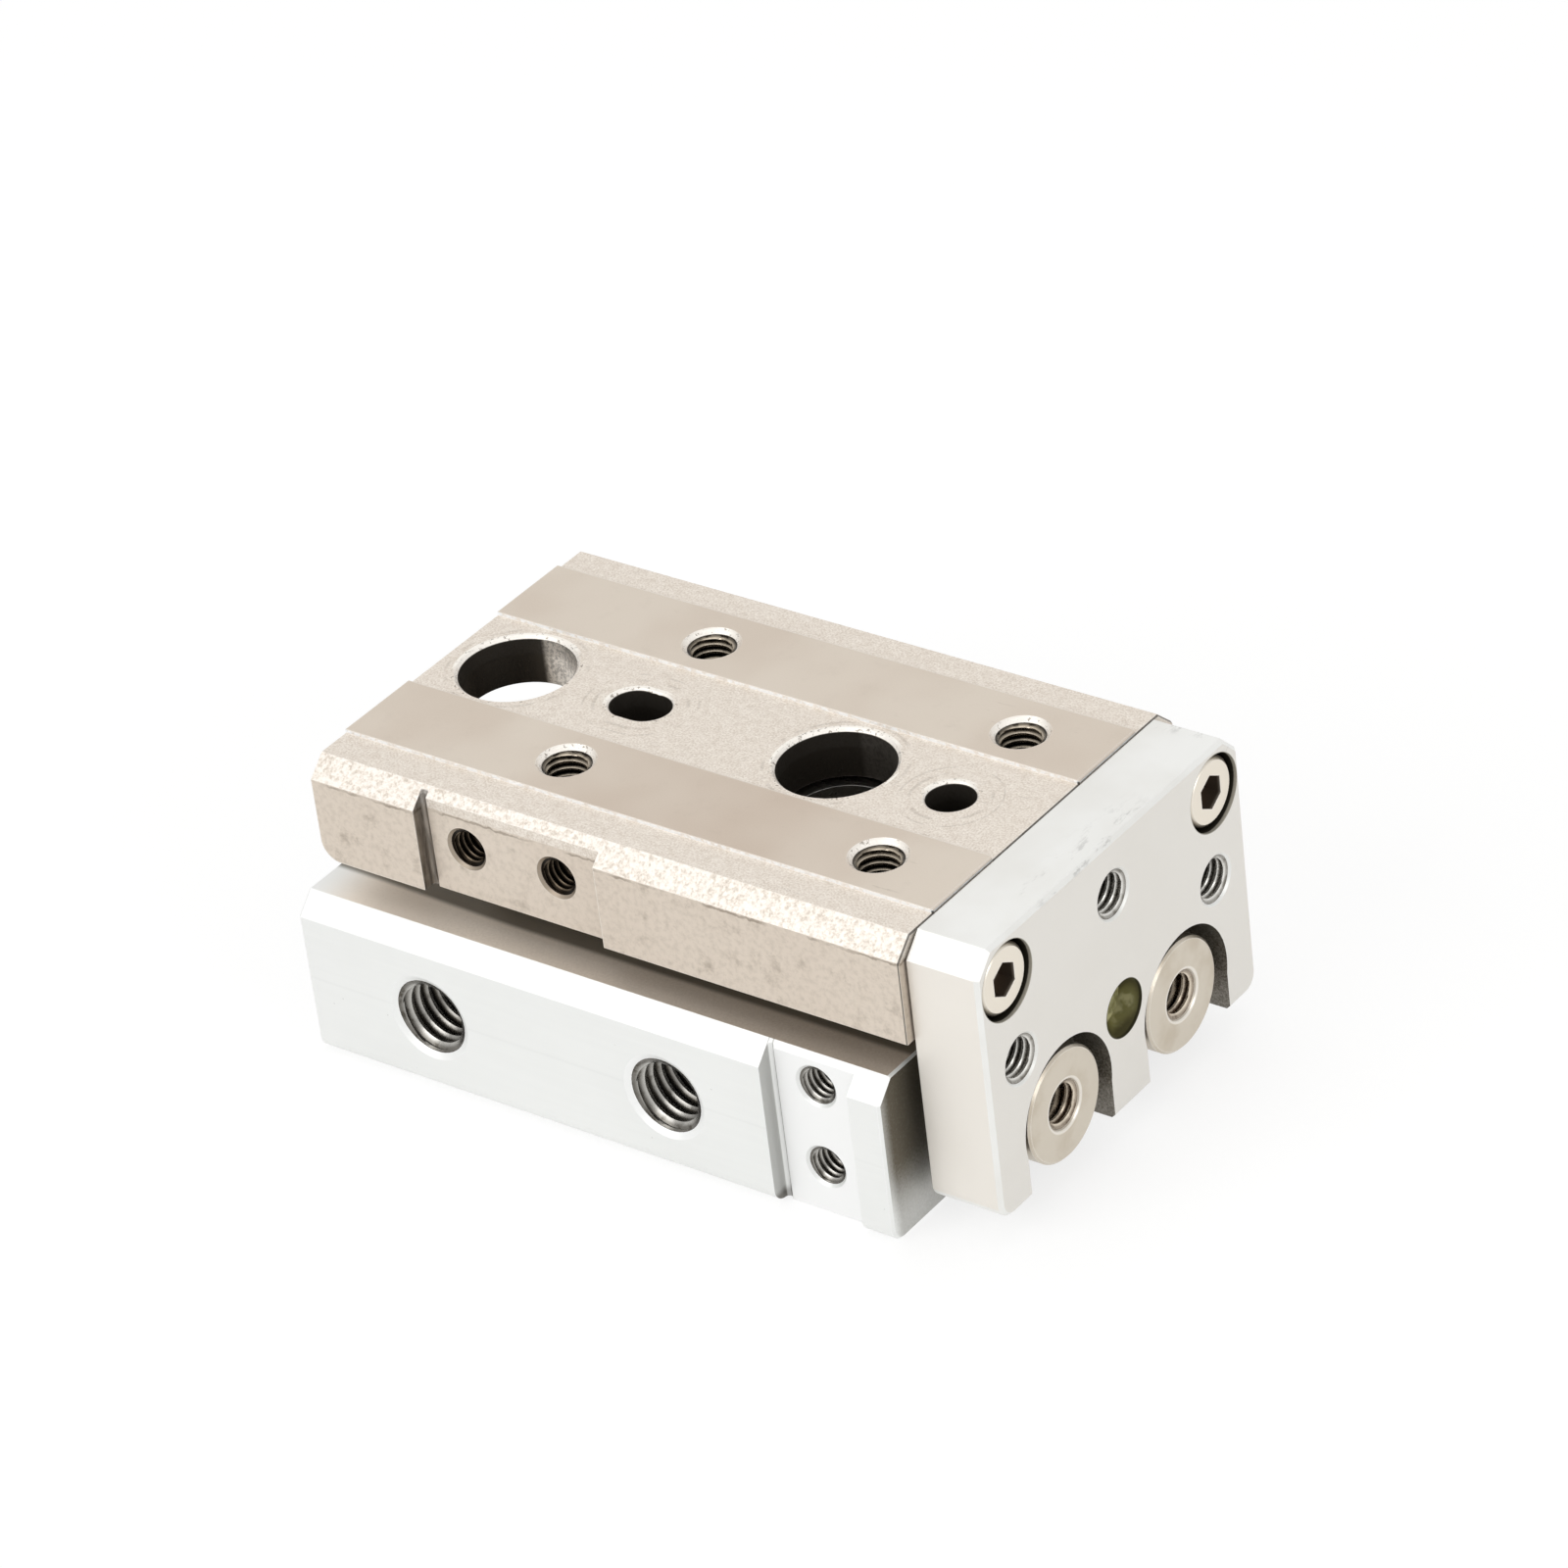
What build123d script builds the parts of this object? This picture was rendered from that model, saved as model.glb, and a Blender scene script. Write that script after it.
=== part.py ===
from build123d import *
import os

os.makedirs("parts", exist_ok=True)

# Compact twin-rod pneumatic slide table, drawn retracted, in millimetres.
# The origin is the centre of the body's mounting face, +X is the way the table travels,
# +Z is up, and the air ports are on the -Y side.

# Aluminium body
body_length = 42.5
body_width = 32.0
body_height = 11.0
body_chamfer = 1.3
body_corner_radius = 1.0
body_edge_break = 0.15

# Cylinder bores and travel
stroke = 10.0
bore_radius = 3.0
rod_radius = 1.5
rod_pitch = 12.3
rod_height = 5.4
cover_radius = 3.4

# Ports and air drillings, measured from the body's rear face
port_radius = 2.5
port_rim_radius = 2.9
port_sink_angle = 120
port_depth = 5.4
port_height = 5.2
rear_port_x = 9.25
front_port_x = 26.7
air_drill_radius = 0.7
rear_drill_x = 9.1
front_drill_x = 26.0

# Mounting holes of the body, under the access holes of the table
mount_hole_radius = 1.65
mount_thread_radius = 2.0
mount_thread_depth = 4.5

# Dowel hole and slot in the base
base_dowel_radius = 1.5
base_dowel_depth = 2.0
base_dowel_x = 15.5
base_dowel_pitch = 20.0
dowel_slot_extra = 1.0

# Switch grooves on the side away from the ports
switch_groove_radius = 2.0
switch_groove_mouth = 2.6
switch_groove_inset = 2.6

# Flat for the adjuster block on the body's port side, measured from the body's front face
body_flat_depth = 0.95
body_relief_setback = 8.15
body_flat_end_setback = 2.25
body_flat_hole_setback = 5.15
body_flat_hole_z = 3.2
body_flat_hole_pitch = 5.62

# Relief groove and threaded holes, the same on both flats
relief_radius = 0.25
relief_below_flat = 0.2
small_thread_radius = 1.25
small_thread_rim = 1.43
small_thread_depth = 3.5

# Steel table, and the gap between the body's front face and the end plate
table_setback = 1.0
plate_gap = 1.0
table_width = 28.0
table_height = 7.0
table_gap = 2.0
web_thickness = 3.5
table_chamfer_y = 1.3
table_chamfer_z = 1.2
band_recess = 0.25
land_inner = 4.35
land_outer = 10.4
table_corner_radius = 1.3
table_edge_break = 0.12

# Holes in the table, measured from its rear end
thread_radius = 1.5
thread_rim_radius = 1.82
thread_x = 14.15
thread_pitch_x = 22.4
thread_pitch_y = 14.4
access_radius = 3.6
access_rim_radius = 3.8
access_x = 4.85
access_pitch = 23.6
dowel_radius = 1.5
dowel_rim_radius = 1.64

# Flat for the adjuster stop on the table's port side, measured from the table's rear end
table_flat_depth = 0.72
table_relief_x = 8.0
table_flat_end = 21.0
table_flat_hole_x = 10.85
table_flat_hole_pitch = 6.65
table_flat_hole_z = 3.37

# End plate, its holes measured down from its top edge
plate_thickness = 4.9
plate_width = 26.8
plate_bottom = 1.8
plate_top_drop = 0.2
plate_chamfer = 1.36
plate_corner_radius = 1.2
plate_edge_break = 0.25
pocket_radius = 4.4
pocket_half_width = 4.3
pocket_depth = 2.4
neck_slot_half_width = 1.9
collar_slot_half_width = 3.2
collar_pocket_depth = 0.95
plate_thread_pitch = 20.2
plate_thread_drop = 8.6
plate_centre_thread_drop = 3.55
plate_thread_rim = 1.64
bumper_hole_radius = 1.8
bumper_bevel = 0.3
bumper_drop = 2.6

# Plate screws
plate_screw_pitch = 21.3
plate_screw_drop = 2.9
counterbore_radius = 2.45
counterbore_depth = 2.7
screw_radius = 1.25
screw_head_radius = 2.2
screw_head_height = 2.5
screw_head_bevel = 0.25
screw_grip = 5.5
screw_hole_clearance = 0.15
screw_hole_spare = 0.5
hex_across_flats = 2.0
hex_depth = 1.2
hex_turn = 30

# Rod end disc, screwed onto the rod's threaded end
disc_radius = 3.6
disc_recess = 0.3
disc_edge_break = 0.15
rod_thread_radius = 1.5
rod_end_inset = 1.1
collar_radius = 2.8

# Crossed roller guide
roller_radius = 0.75
roller_length = 1.4
roller_pitch = 3.4
cage_end_margin = 0.6
roller_y = 8.55
roller_height = 3.5
groove_clearance = 0.02
guide_gap = 0.25
cage_height = 2.6
cage_thickness = 0.3
cage_window_x = 1.6
cage_window_z = 2.2
block_clearance = 0.4
block_rear_x = 10.0
block_front_setback = 1.6
block_access_radius = 3.2
block_screw_rear_inset = 9.0
block_screw_front_inset = 4.3
block_screw_head_radius = 2.25
block_screw_head_height = 2.5
block_screw_sink = 2.7
block_screw_engagement = 4.0
stop_thickness = 0.8
stop_pin_height = 2.6
stop_pin_radius = 0.8
stop_pin_depth = 1.6
stop_clearance = 0.1

# Rod covers, head caps and their retaining rings
ring_inset = 0.9
ring_thickness = 0.7
ring_seat_radius = 3.8
ring_inner_radius = 2.7
ring_mouth = 2.0
head_cap_length = 6.4
fit_clearance = 0.02
rod_clearance = 0.03
piston_clearance = 0.05
oring_width = 1.2
oring_depth = 0.65
puller_hole_radius = 1.0
puller_hole_depth = 1.5
rod_seal_radius = 2.5
rod_seal_length = 2.0

# Piston, its seal and magnet, and the stop bumpers
piston_rear_x = 9.9
piston_length = 5.3
piston_land = 0.5
seal_groove_width = 1.3
seal_groove_depth = 0.8
seal_clearance = 0.03
magnet_width = 1.9
spigot_radius = 0.9
rivet_radius = 1.5
rivet_length = 0.5
rod_bumper_radius = 2.4
rod_bumper_length = 3.45
stop_gap = 0.05
end_bumper_setback = 1.6

# How far a cutter runs on past an edge, and the angle of the common countersink
cutter_overrun = 1.0
sink_angle = 90

# Places worked out from the sizes above
body_rear = -body_length / 2
body_front = body_length / 2
table_rear = body_rear + table_setback
table_front = body_front + plate_gap
table_length = table_front - table_rear
plate_front = table_front + plate_thickness
table_bottom = body_height + table_gap
table_top = table_bottom + table_height
web_bottom = table_top - web_thickness
band_top = table_top - band_recess
plate_top = table_top - plate_top_drop
plate_height = plate_top - plate_bottom
plate_screw_z = plate_top - plate_screw_drop
plate_thread_z = plate_top - plate_thread_drop
plate_centre_thread_z = plate_top - plate_centre_thread_drop
bumper_z = body_height - bumper_drop
switch_groove_wall = (body_height - 4 * switch_groove_radius) / 3
switch_groove_low_z = switch_groove_wall + switch_groove_radius
switch_groove_high_z = body_height - switch_groove_low_z
roller_z = body_height + roller_height
groove_reach = (roller_radius + groove_clearance) * 2**0.5
groove_half = groove_reach - guide_gap
table_inner = roller_y + guide_gap
block_half_width = roller_y - guide_gap
block_top = web_bottom - block_clearance
block_rear = body_rear + block_rear_x
block_front = body_front - block_front_setback
block_length = block_front - block_rear
cage_end = roller_radius + cage_end_margin
roller_room = block_length - stroke / 2 - 2 * (stop_gap + cage_end)
roller_count = int(roller_room / roller_pitch) + 1
cage_length = (roller_count - 1) * roller_pitch + 2 * cage_end
mount_hole_rear = table_rear + access_x
mount_hole_front = mount_hole_rear + access_pitch
piston_rear = body_rear + piston_rear_x
piston_front = piston_rear + piston_length
cap_front = body_rear + ring_inset + ring_thickness + head_cap_length
cover_rear = piston_front + stroke + stop_gap + rod_bumper_length
rod_cover_length = body_front - ring_inset - ring_thickness - cover_rear
disc_front = plate_front - disc_recess
pocket_floor = plate_front - pocket_depth
sides = (("left", rod_pitch / 2), ("right", -rod_pitch / 2))


def facing_port_side(x, y, z):
    """Plane that looks along -Y, at one point of a wall on the port side."""
    return Plane(origin=(x, y, z), x_dir=(1, 0, 0), z_dir=(0, -1, 0))


def facing_front(x, y, z):
    """Plane that looks along +X, at one point of a front face."""
    return Plane(origin=(x, y, z), x_dir=(0, 1, 0), z_dir=(1, 0, 0))


def facing_base(x, y):
    """Plane on the base, its normal pointing down."""
    return Plane(origin=(x, y, 0), x_dir=(1, 0, 0), z_dir=(0, 0, -1))


# Body: a drawn aluminium bar, milled and drilled for the two cylinders.
with BuildPart() as body:
    with BuildSketch(Plane.YZ.offset(body_rear)) as body_section:
        Rectangle(body_width, body_height, align=(Align.CENTER, Align.MIN))
        chamfer(body_section.vertices().group_by(Axis.Y)[-1], length=body_chamfer)
        fillet(body_section.vertices().group_by(Axis.Y)[0], radius=body_corner_radius)
        groove_y = body_width / 2 - switch_groove_inset
        with Locations((groove_y, switch_groove_low_z), (groove_y, switch_groove_high_z)):
            Circle(switch_groove_radius, mode=Mode.SUBTRACT)
            Rectangle(
                switch_groove_inset + cutter_overrun,
                switch_groove_mouth,
                align=(Align.MIN, Align.CENTER),
                mode=Mode.SUBTRACT,
            )
    extrude(amount=body_length)
    end_edges = body.edges().filter_by(Plane.YZ)
    chamfer(end_edges, length=body_edge_break)
    # Bores, the wider seats of caps and covers, and the mouths that take the retaining rings.
    ring_seat_depth = ring_inset + ring_thickness
    for start, amount, radius in (
        (body_rear, body_length, bore_radius),
        (body_rear, cap_front - body_rear, cover_radius),
        (body_front, cover_rear - body_front, cover_radius),
        (body_rear, ring_seat_depth, ring_seat_radius),
        (body_front, -ring_seat_depth, ring_seat_radius),
    ):
        with BuildSketch(Plane.YZ.offset(start)):
            with Locations([(y, rod_height) for side, y in sides]):
                Circle(radius)
        extrude(amount=amount, mode=Mode.SUBTRACT)
    # Ports, and the drillings that carry air on through the near bore to the far one.
    for port_x, drill_x in ((rear_port_x, rear_drill_x), (front_port_x, front_drill_x)):
        with Locations(facing_port_side(body_rear + port_x, -body_width / 2, port_height)):
            CounterSinkHole(port_radius, port_rim_radius, port_depth, port_sink_angle)
        drill_start = -body_width / 2 + port_depth / 2
        with Locations(facing_port_side(body_rear + drill_x, drill_start, rod_height)):
            Hole(air_drill_radius, depth=rod_pitch / 2 - drill_start)
    # Mounting holes: clearance for a screw from above, a larger thread from below.
    with Locations((mount_hole_rear, 0, body_height), (mount_hole_front, 0, body_height)):
        Hole(mount_hole_radius, depth=body_height)
    with Locations(facing_base(mount_hole_rear, 0), facing_base(mount_hole_front, 0)):
        Hole(mount_thread_radius, depth=mount_thread_depth)
    # Dowel hole and slot in the base.
    with Locations(facing_base(body_rear + base_dowel_x + base_dowel_pitch, 0)):
        Hole(base_dowel_radius, depth=base_dowel_depth)
    with BuildSketch(Plane.XY):
        with Locations((body_rear + base_dowel_x, 0)):
            SlotCenterToCenter(dowel_slot_extra, 2 * base_dowel_radius)
    extrude(amount=base_dowel_depth, mode=Mode.SUBTRACT)
    # Screw holes of the guide block.
    block_screw_places = (block_rear + block_screw_rear_inset, block_front - block_screw_front_inset)
    with Locations([(x, 0, body_height) for x in block_screw_places]):
        Hole(screw_radius, depth=block_screw_engagement + screw_hole_spare)
    # Adjuster flat with its relief groove and two threaded holes.
    body_flat_length = body_relief_setback - body_flat_end_setback
    body_relief_depth = body_flat_depth + relief_below_flat
    with BuildSketch(Plane.XZ.offset(body_width / 2 - body_flat_depth)):
        with Locations((body_front - body_relief_setback, 0)):
            Rectangle(body_flat_length, body_height, align=(Align.MIN, Align.MIN))
    extrude(amount=body_flat_depth + cutter_overrun, mode=Mode.SUBTRACT)
    with BuildSketch(Plane.XY):
        with Locations((body_front - body_relief_setback, -body_width / 2)):
            SlotCenterToCenter(2 * (body_relief_depth - relief_radius), 2 * relief_radius, rotation=90)
    extrude(amount=body_height, mode=Mode.SUBTRACT)
    for i in range(2):
        hole_x = body_front - body_flat_hole_setback
        hole_z = body_flat_hole_z + i * body_flat_hole_pitch
        with Locations(facing_port_side(hole_x, -body_width / 2 + body_flat_depth, hole_z)):
            CounterSinkHole(small_thread_radius, small_thread_rim, small_thread_depth, sink_angle)
body.part.label = "body"
export_step(body.part, "parts/body.step")

# Guide block: hardened steel, ground with a V groove along each side for the crossed rollers.
with BuildPart() as guide_block:
    with BuildSketch(Plane.YZ.offset(block_rear)):
        with BuildLine():
            half = Polyline(
                (0, body_height),
                (block_half_width, body_height),
                (block_half_width, roller_z - groove_half),
                (roller_y - groove_reach, roller_z),
                (block_half_width, roller_z + groove_half),
                (block_half_width, block_top),
                (0, block_top),
            )
            mirror(half, about=Plane.YZ)
        make_face()
    extrude(amount=block_length)
    with Locations((mount_hole_front, 0, block_top)):
        Hole(block_access_radius)
    with Locations([(x, 0, block_top) for x in block_screw_places]):
        CounterBoreHole(
            screw_radius + screw_hole_clearance,
            block_screw_head_radius + screw_hole_clearance,
            block_screw_sink,
            block_top - body_height,
        )
    for end_x, way in ((block_rear, 1), (block_front, -1)):
        with BuildSketch(Plane.YZ.offset(end_x)):
            with Locations((0, body_height + stop_pin_height)):
                Circle(stop_pin_radius)
        extrude(amount=way * stop_pin_depth, mode=Mode.SUBTRACT)
guide_block.part.label = "guide_block"
export_step(guide_block.part, "parts/guide_block.step")

# Socket screws that hold the guide block down.
with BuildPart() as guide_block_screws:
    head_base = block_top - block_screw_sink
    with BuildSketch(Plane.XY.offset(head_base)):
        with Locations([(x, 0) for x in block_screw_places]):
            Circle(block_screw_head_radius)
    extrude(amount=block_screw_head_height)
    with BuildSketch(Plane.XY.offset(head_base)):
        with Locations([(x, 0) for x in block_screw_places]):
            Circle(screw_radius)
    extrude(amount=-(head_base - body_height + block_screw_engagement))
    with BuildSketch(Plane.XY.offset(head_base + block_screw_head_height)):
        with Locations([(x, 0) for x in block_screw_places]):
            RegularPolygon(hex_across_flats / 2, 6, major_radius=False, rotation=hex_turn)
    extrude(amount=-hex_depth, mode=Mode.SUBTRACT)
guide_block_screws.part.label = "guide_block_screws"
export_step(guide_block_screws.part, "parts/guide_block_screws.step")

# Cage stops: thin steel plates across both ends of the guide block.
for stop_name, stop_x, way in (("cage_stop_rear", block_rear, -1), ("cage_stop_front", block_front, 1)):
    with BuildPart() as cage_stop:
        with BuildSketch(Plane.YZ.offset(stop_x)):
            with Locations((0, body_height + stop_clearance)):
                Rectangle(
                    2 * (table_inner - stop_clearance),
                    block_top - body_height - stop_clearance,
                    align=(Align.CENTER, Align.MIN),
                )
            with Locations((0, body_height + stop_pin_height)):
                Circle(stop_pin_radius, mode=Mode.SUBTRACT)
        extrude(amount=way * stop_thickness)
    cage_stop.part.label = stop_name
    export_step(cage_stop.part, f"parts/{stop_name}.step")

# Pins pressed through the cage stops into the guide block.
with BuildPart() as cage_stop_pins:
    for end_x, way in ((block_rear, -1), (block_front, 1)):
        with BuildSketch(Plane.YZ.offset(end_x + way * stop_thickness)):
            with Locations((0, body_height + stop_pin_height)):
                Circle(stop_pin_radius)
        extrude(amount=-way * (stop_thickness + stop_pin_depth))
cage_stop_pins.part.label = "cage_stop_pins"
export_step(cage_stop_pins.part, "parts/cage_stop_pins.step")

# Crossed rollers and their cages, one row on each side of the guide block. The cage starts
# just clear of the rear stop and runs forward by half of the table's travel.
cage_rear = block_rear + stop_gap
first_roller = cage_rear + cage_length / 2 - roller_pitch * (roller_count - 1) / 2
for side, sign in (("left", 1), ("right", -1)):
    with BuildPart() as roller_cage:
        with BuildSketch(Plane.XZ.offset(-sign * roller_y)):
            with Locations((cage_rear + cage_length / 2, roller_z)):
                Rectangle(cage_length, cage_height)
            for i in range(roller_count):
                with Locations((first_roller + i * roller_pitch, roller_z)):
                    Rectangle(cage_window_x, cage_window_z, mode=Mode.SUBTRACT)
        extrude(amount=cage_thickness / 2, both=True)
    roller_cage.part.label = f"roller_cage_{side}"
    export_step(roller_cage.part, f"parts/roller_cage_{side}.step")

    with BuildPart() as cross_rollers:
        for i in range(roller_count):
            lean = 1 if i % 2 == 0 else -1
            centre = (first_roller + i * roller_pitch, sign * roller_y, roller_z)
            with BuildSketch(Plane(origin=centre, x_dir=(1, 0, 0), z_dir=(0, 1, lean))):
                Circle(roller_radius)
            extrude(amount=roller_length / 2, both=True)
    cross_rollers.part.label = f"cross_rollers_{side}"
    export_step(cross_rollers.part, f"parts/cross_rollers_{side}.step")

# Table: nickel plated steel, an upside-down channel whose legs carry the outer V grooves.
with BuildPart() as table:
    with BuildSketch(Plane.YZ.offset(table_rear)):
        with BuildLine():
            half = Polyline(
                (0, band_top),
                (land_inner, band_top),
                (land_inner, table_top),
                (land_outer, table_top),
                (land_outer, band_top),
                (table_width / 2 - table_chamfer_y, band_top),
                (table_width / 2, band_top - table_chamfer_z),
                (table_width / 2, table_bottom),
                (table_inner, table_bottom),
                (table_inner, roller_z - groove_half),
                (roller_y + groove_reach, roller_z),
                (table_inner, roller_z + groove_half),
                (table_inner, web_bottom),
                (0, web_bottom),
            )
            mirror(half, about=Plane.YZ)
        make_face()
    extrude(amount=table_length)
    leg_corners = table.edges().filter_by(Axis.Y).group_by(Axis.Z)[0].group_by(Axis.X)[0]
    fillet(leg_corners, radius=table_corner_radius)
    front_edges = table.edges().filter_by(Plane.YZ).group_by(Axis.X)[-1]
    front_rim = front_edges.filter_by_position(Axis.Z, web_bottom, table_top, inclusive=(False, True))
    chamfer(front_rim, length=table_edge_break)
    # Threaded holes on the two lands.
    thread_centre = table_rear + thread_x + thread_pitch_x / 2
    with Locations((thread_centre, 0, table_top)):
        with GridLocations(thread_pitch_x, thread_pitch_y, 2, 2):
            CounterSinkHole(thread_radius, thread_rim_radius, web_thickness, sink_angle)
    # Access holes over the body's mounting holes.
    with Locations((mount_hole_rear, 0, band_top), (mount_hole_front, 0, band_top)):
        CounterSinkHole(access_radius, access_rim_radius, web_thickness, sink_angle)
    # Dowel hole at the front, dowel slot at the rear.
    with Locations((table_rear + thread_x + thread_pitch_x, 0, band_top)):
        CounterSinkHole(dowel_radius, dowel_rim_radius, web_thickness, sink_angle)
    with BuildSketch(Plane.XY.offset(band_top)):
        with Locations((table_rear + thread_x, 0)):
            SlotCenterToCenter(dowel_slot_extra, 2 * dowel_radius)
    extrude(amount=-web_thickness, mode=Mode.SUBTRACT)
    with BuildSketch(Plane.XY.offset(band_top)):
        with Locations((table_rear + thread_x, 0)):
            SlotCenterToCenter(dowel_slot_extra, 2 * dowel_rim_radius)
    extrude(amount=-(dowel_rim_radius - dowel_radius), taper=sink_angle / 2, mode=Mode.SUBTRACT)
    # Threaded holes for the end plate's screws.
    for y in (plate_screw_pitch / 2, -plate_screw_pitch / 2):
        with Locations(facing_front(table_front, y, plate_screw_z)):
            Hole(screw_radius, depth=screw_grip + screw_hole_spare)
    # Adjuster flat on the port side, with its relief groove and two threaded holes.
    table_relief_depth = table_flat_depth + relief_below_flat
    with BuildSketch(Plane.XZ.offset(table_width / 2 - table_flat_depth)):
        with Locations((table_rear + table_relief_x, table_bottom)):
            Rectangle(table_flat_end - table_relief_x, table_height, align=(Align.MIN, Align.MIN))
    extrude(amount=table_flat_depth + cutter_overrun, mode=Mode.SUBTRACT)
    with BuildSketch(Plane.XY.offset(table_bottom)):
        with Locations((table_rear + table_relief_x, -table_width / 2)):
            SlotCenterToCenter(2 * (table_relief_depth - relief_radius), 2 * relief_radius, rotation=90)
    extrude(amount=table_height, mode=Mode.SUBTRACT)
    for i in range(2):
        hole_x = table_rear + table_flat_hole_x + i * table_flat_hole_pitch
        hole_z = table_bottom + table_flat_hole_z
        with Locations(facing_port_side(hole_x, -table_width / 2 + table_flat_depth, hole_z)):
            CounterSinkHole(small_thread_radius, small_thread_rim, small_thread_depth, sink_angle)
table.part.label = "table"
export_step(table.part, "parts/table.step")

# End plate: aluminium, bolted to the table's front end and hooked over both rod ends.
with BuildPart() as end_plate:
    with BuildSketch(Plane.YZ.offset(table_front)) as plate_outline:
        with Locations((0, plate_bottom)):
            Rectangle(plate_width, plate_height, align=(Align.CENTER, Align.MIN))
        chamfer(plate_outline.vertices().group_by(Axis.Y)[-1], length=plate_chamfer)
        fillet(plate_outline.vertices().group_by(Axis.Y)[0], radius=plate_corner_radius)
    extrude(amount=plate_thickness)
    chamfer(end_plate.faces().sort_by(Axis.X)[-1].edges(), length=plate_edge_break)
    chamfer(end_plate.faces().sort_by(Axis.X)[0].edges(), length=table_edge_break)
    for side, y in sides:
        for start, amount, round_radius, half_width in (
            (plate_front, -pocket_depth, pocket_radius, pocket_half_width),
            (plate_front, -plate_thickness, neck_slot_half_width, neck_slot_half_width),
            (table_front, collar_pocket_depth, collar_slot_half_width, collar_slot_half_width),
        ):
            with BuildSketch(Plane.YZ.offset(start)):
                with Locations((y, rod_height)):
                    Circle(round_radius)
                    Rectangle(2 * half_width, rod_height, align=(Align.CENTER, Align.MAX))
            extrude(amount=amount, mode=Mode.SUBTRACT)
    for y in (plate_screw_pitch / 2, -plate_screw_pitch / 2):
        with Locations(facing_front(plate_front, y, plate_screw_z)):
            CounterBoreHole(
                screw_radius + screw_hole_clearance,
                counterbore_radius,
                counterbore_depth,
                plate_thickness,
            )
    for y, z in (
        (plate_thread_pitch / 2, plate_thread_z),
        (-plate_thread_pitch / 2, plate_thread_z),
        (0, plate_centre_thread_z),
    ):
        with Locations(facing_front(plate_front, y, z)):
            CounterSinkHole(thread_radius, plate_thread_rim, plate_thickness, sink_angle)
    with Locations(facing_front(plate_front, 0, bumper_z)):
        Hole(bumper_hole_radius, depth=plate_thickness)
end_plate.part.label = "end_plate"
export_step(end_plate.part, "parts/end_plate.step")

# Socket screws of the end plate, their heads level with its front.
with BuildPart() as end_plate_screws:
    head_base = plate_front - counterbore_depth
    for y in (plate_screw_pitch / 2, -plate_screw_pitch / 2):
        with BuildSketch(Plane.YZ.offset(head_base)):
            with Locations((y, plate_screw_z)):
                Circle(screw_head_radius)
        extrude(amount=screw_head_height)
    head_rims = end_plate_screws.edges().filter_by(GeomType.CIRCLE).group_by(Axis.X)[-1]
    chamfer(head_rims, length=screw_head_bevel)
    for y in (plate_screw_pitch / 2, -plate_screw_pitch / 2):
        with BuildSketch(Plane.YZ.offset(head_base)):
            with Locations((y, plate_screw_z)):
                Circle(screw_radius)
        extrude(amount=-(head_base - table_front + screw_grip))
        with BuildSketch(Plane.YZ.offset(head_base + screw_head_height)):
            with Locations((y, plate_screw_z)):
                RegularPolygon(hex_across_flats / 2, 6, major_radius=False, rotation=hex_turn)
        extrude(amount=-hex_depth, mode=Mode.SUBTRACT)
end_plate_screws.part.label = "end_plate_screws"
export_step(end_plate_screws.part, "parts/end_plate_screws.step")

# End bumper: a urethane stud pressed into the end plate. It meets the body's front face
# when the table is home.
with BuildPart() as end_bumper:
    with BuildSketch(Plane.YZ.offset(body_front + stop_gap)):
        with Locations((0, bumper_z)):
            Circle(bumper_hole_radius)
    extrude(amount=plate_front - end_bumper_setback - body_front - stop_gap)
    chamfer(end_bumper.edges().filter_by(GeomType.CIRCLE).group_by(Axis.X)[0], length=bumper_bevel)
end_bumper.part.label = "end_bumper"
export_step(end_bumper.part, "parts/end_bumper.step")


def ring_section(inner, outer, start, length, mode=Mode.ADD):
    """Half section of a turned ring or groove: radii along local X, +X along local Y."""
    with Locations(((inner + outer) / 2, start + length / 2)):
        Rectangle(outer - inner, length, mode=mode)


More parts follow.
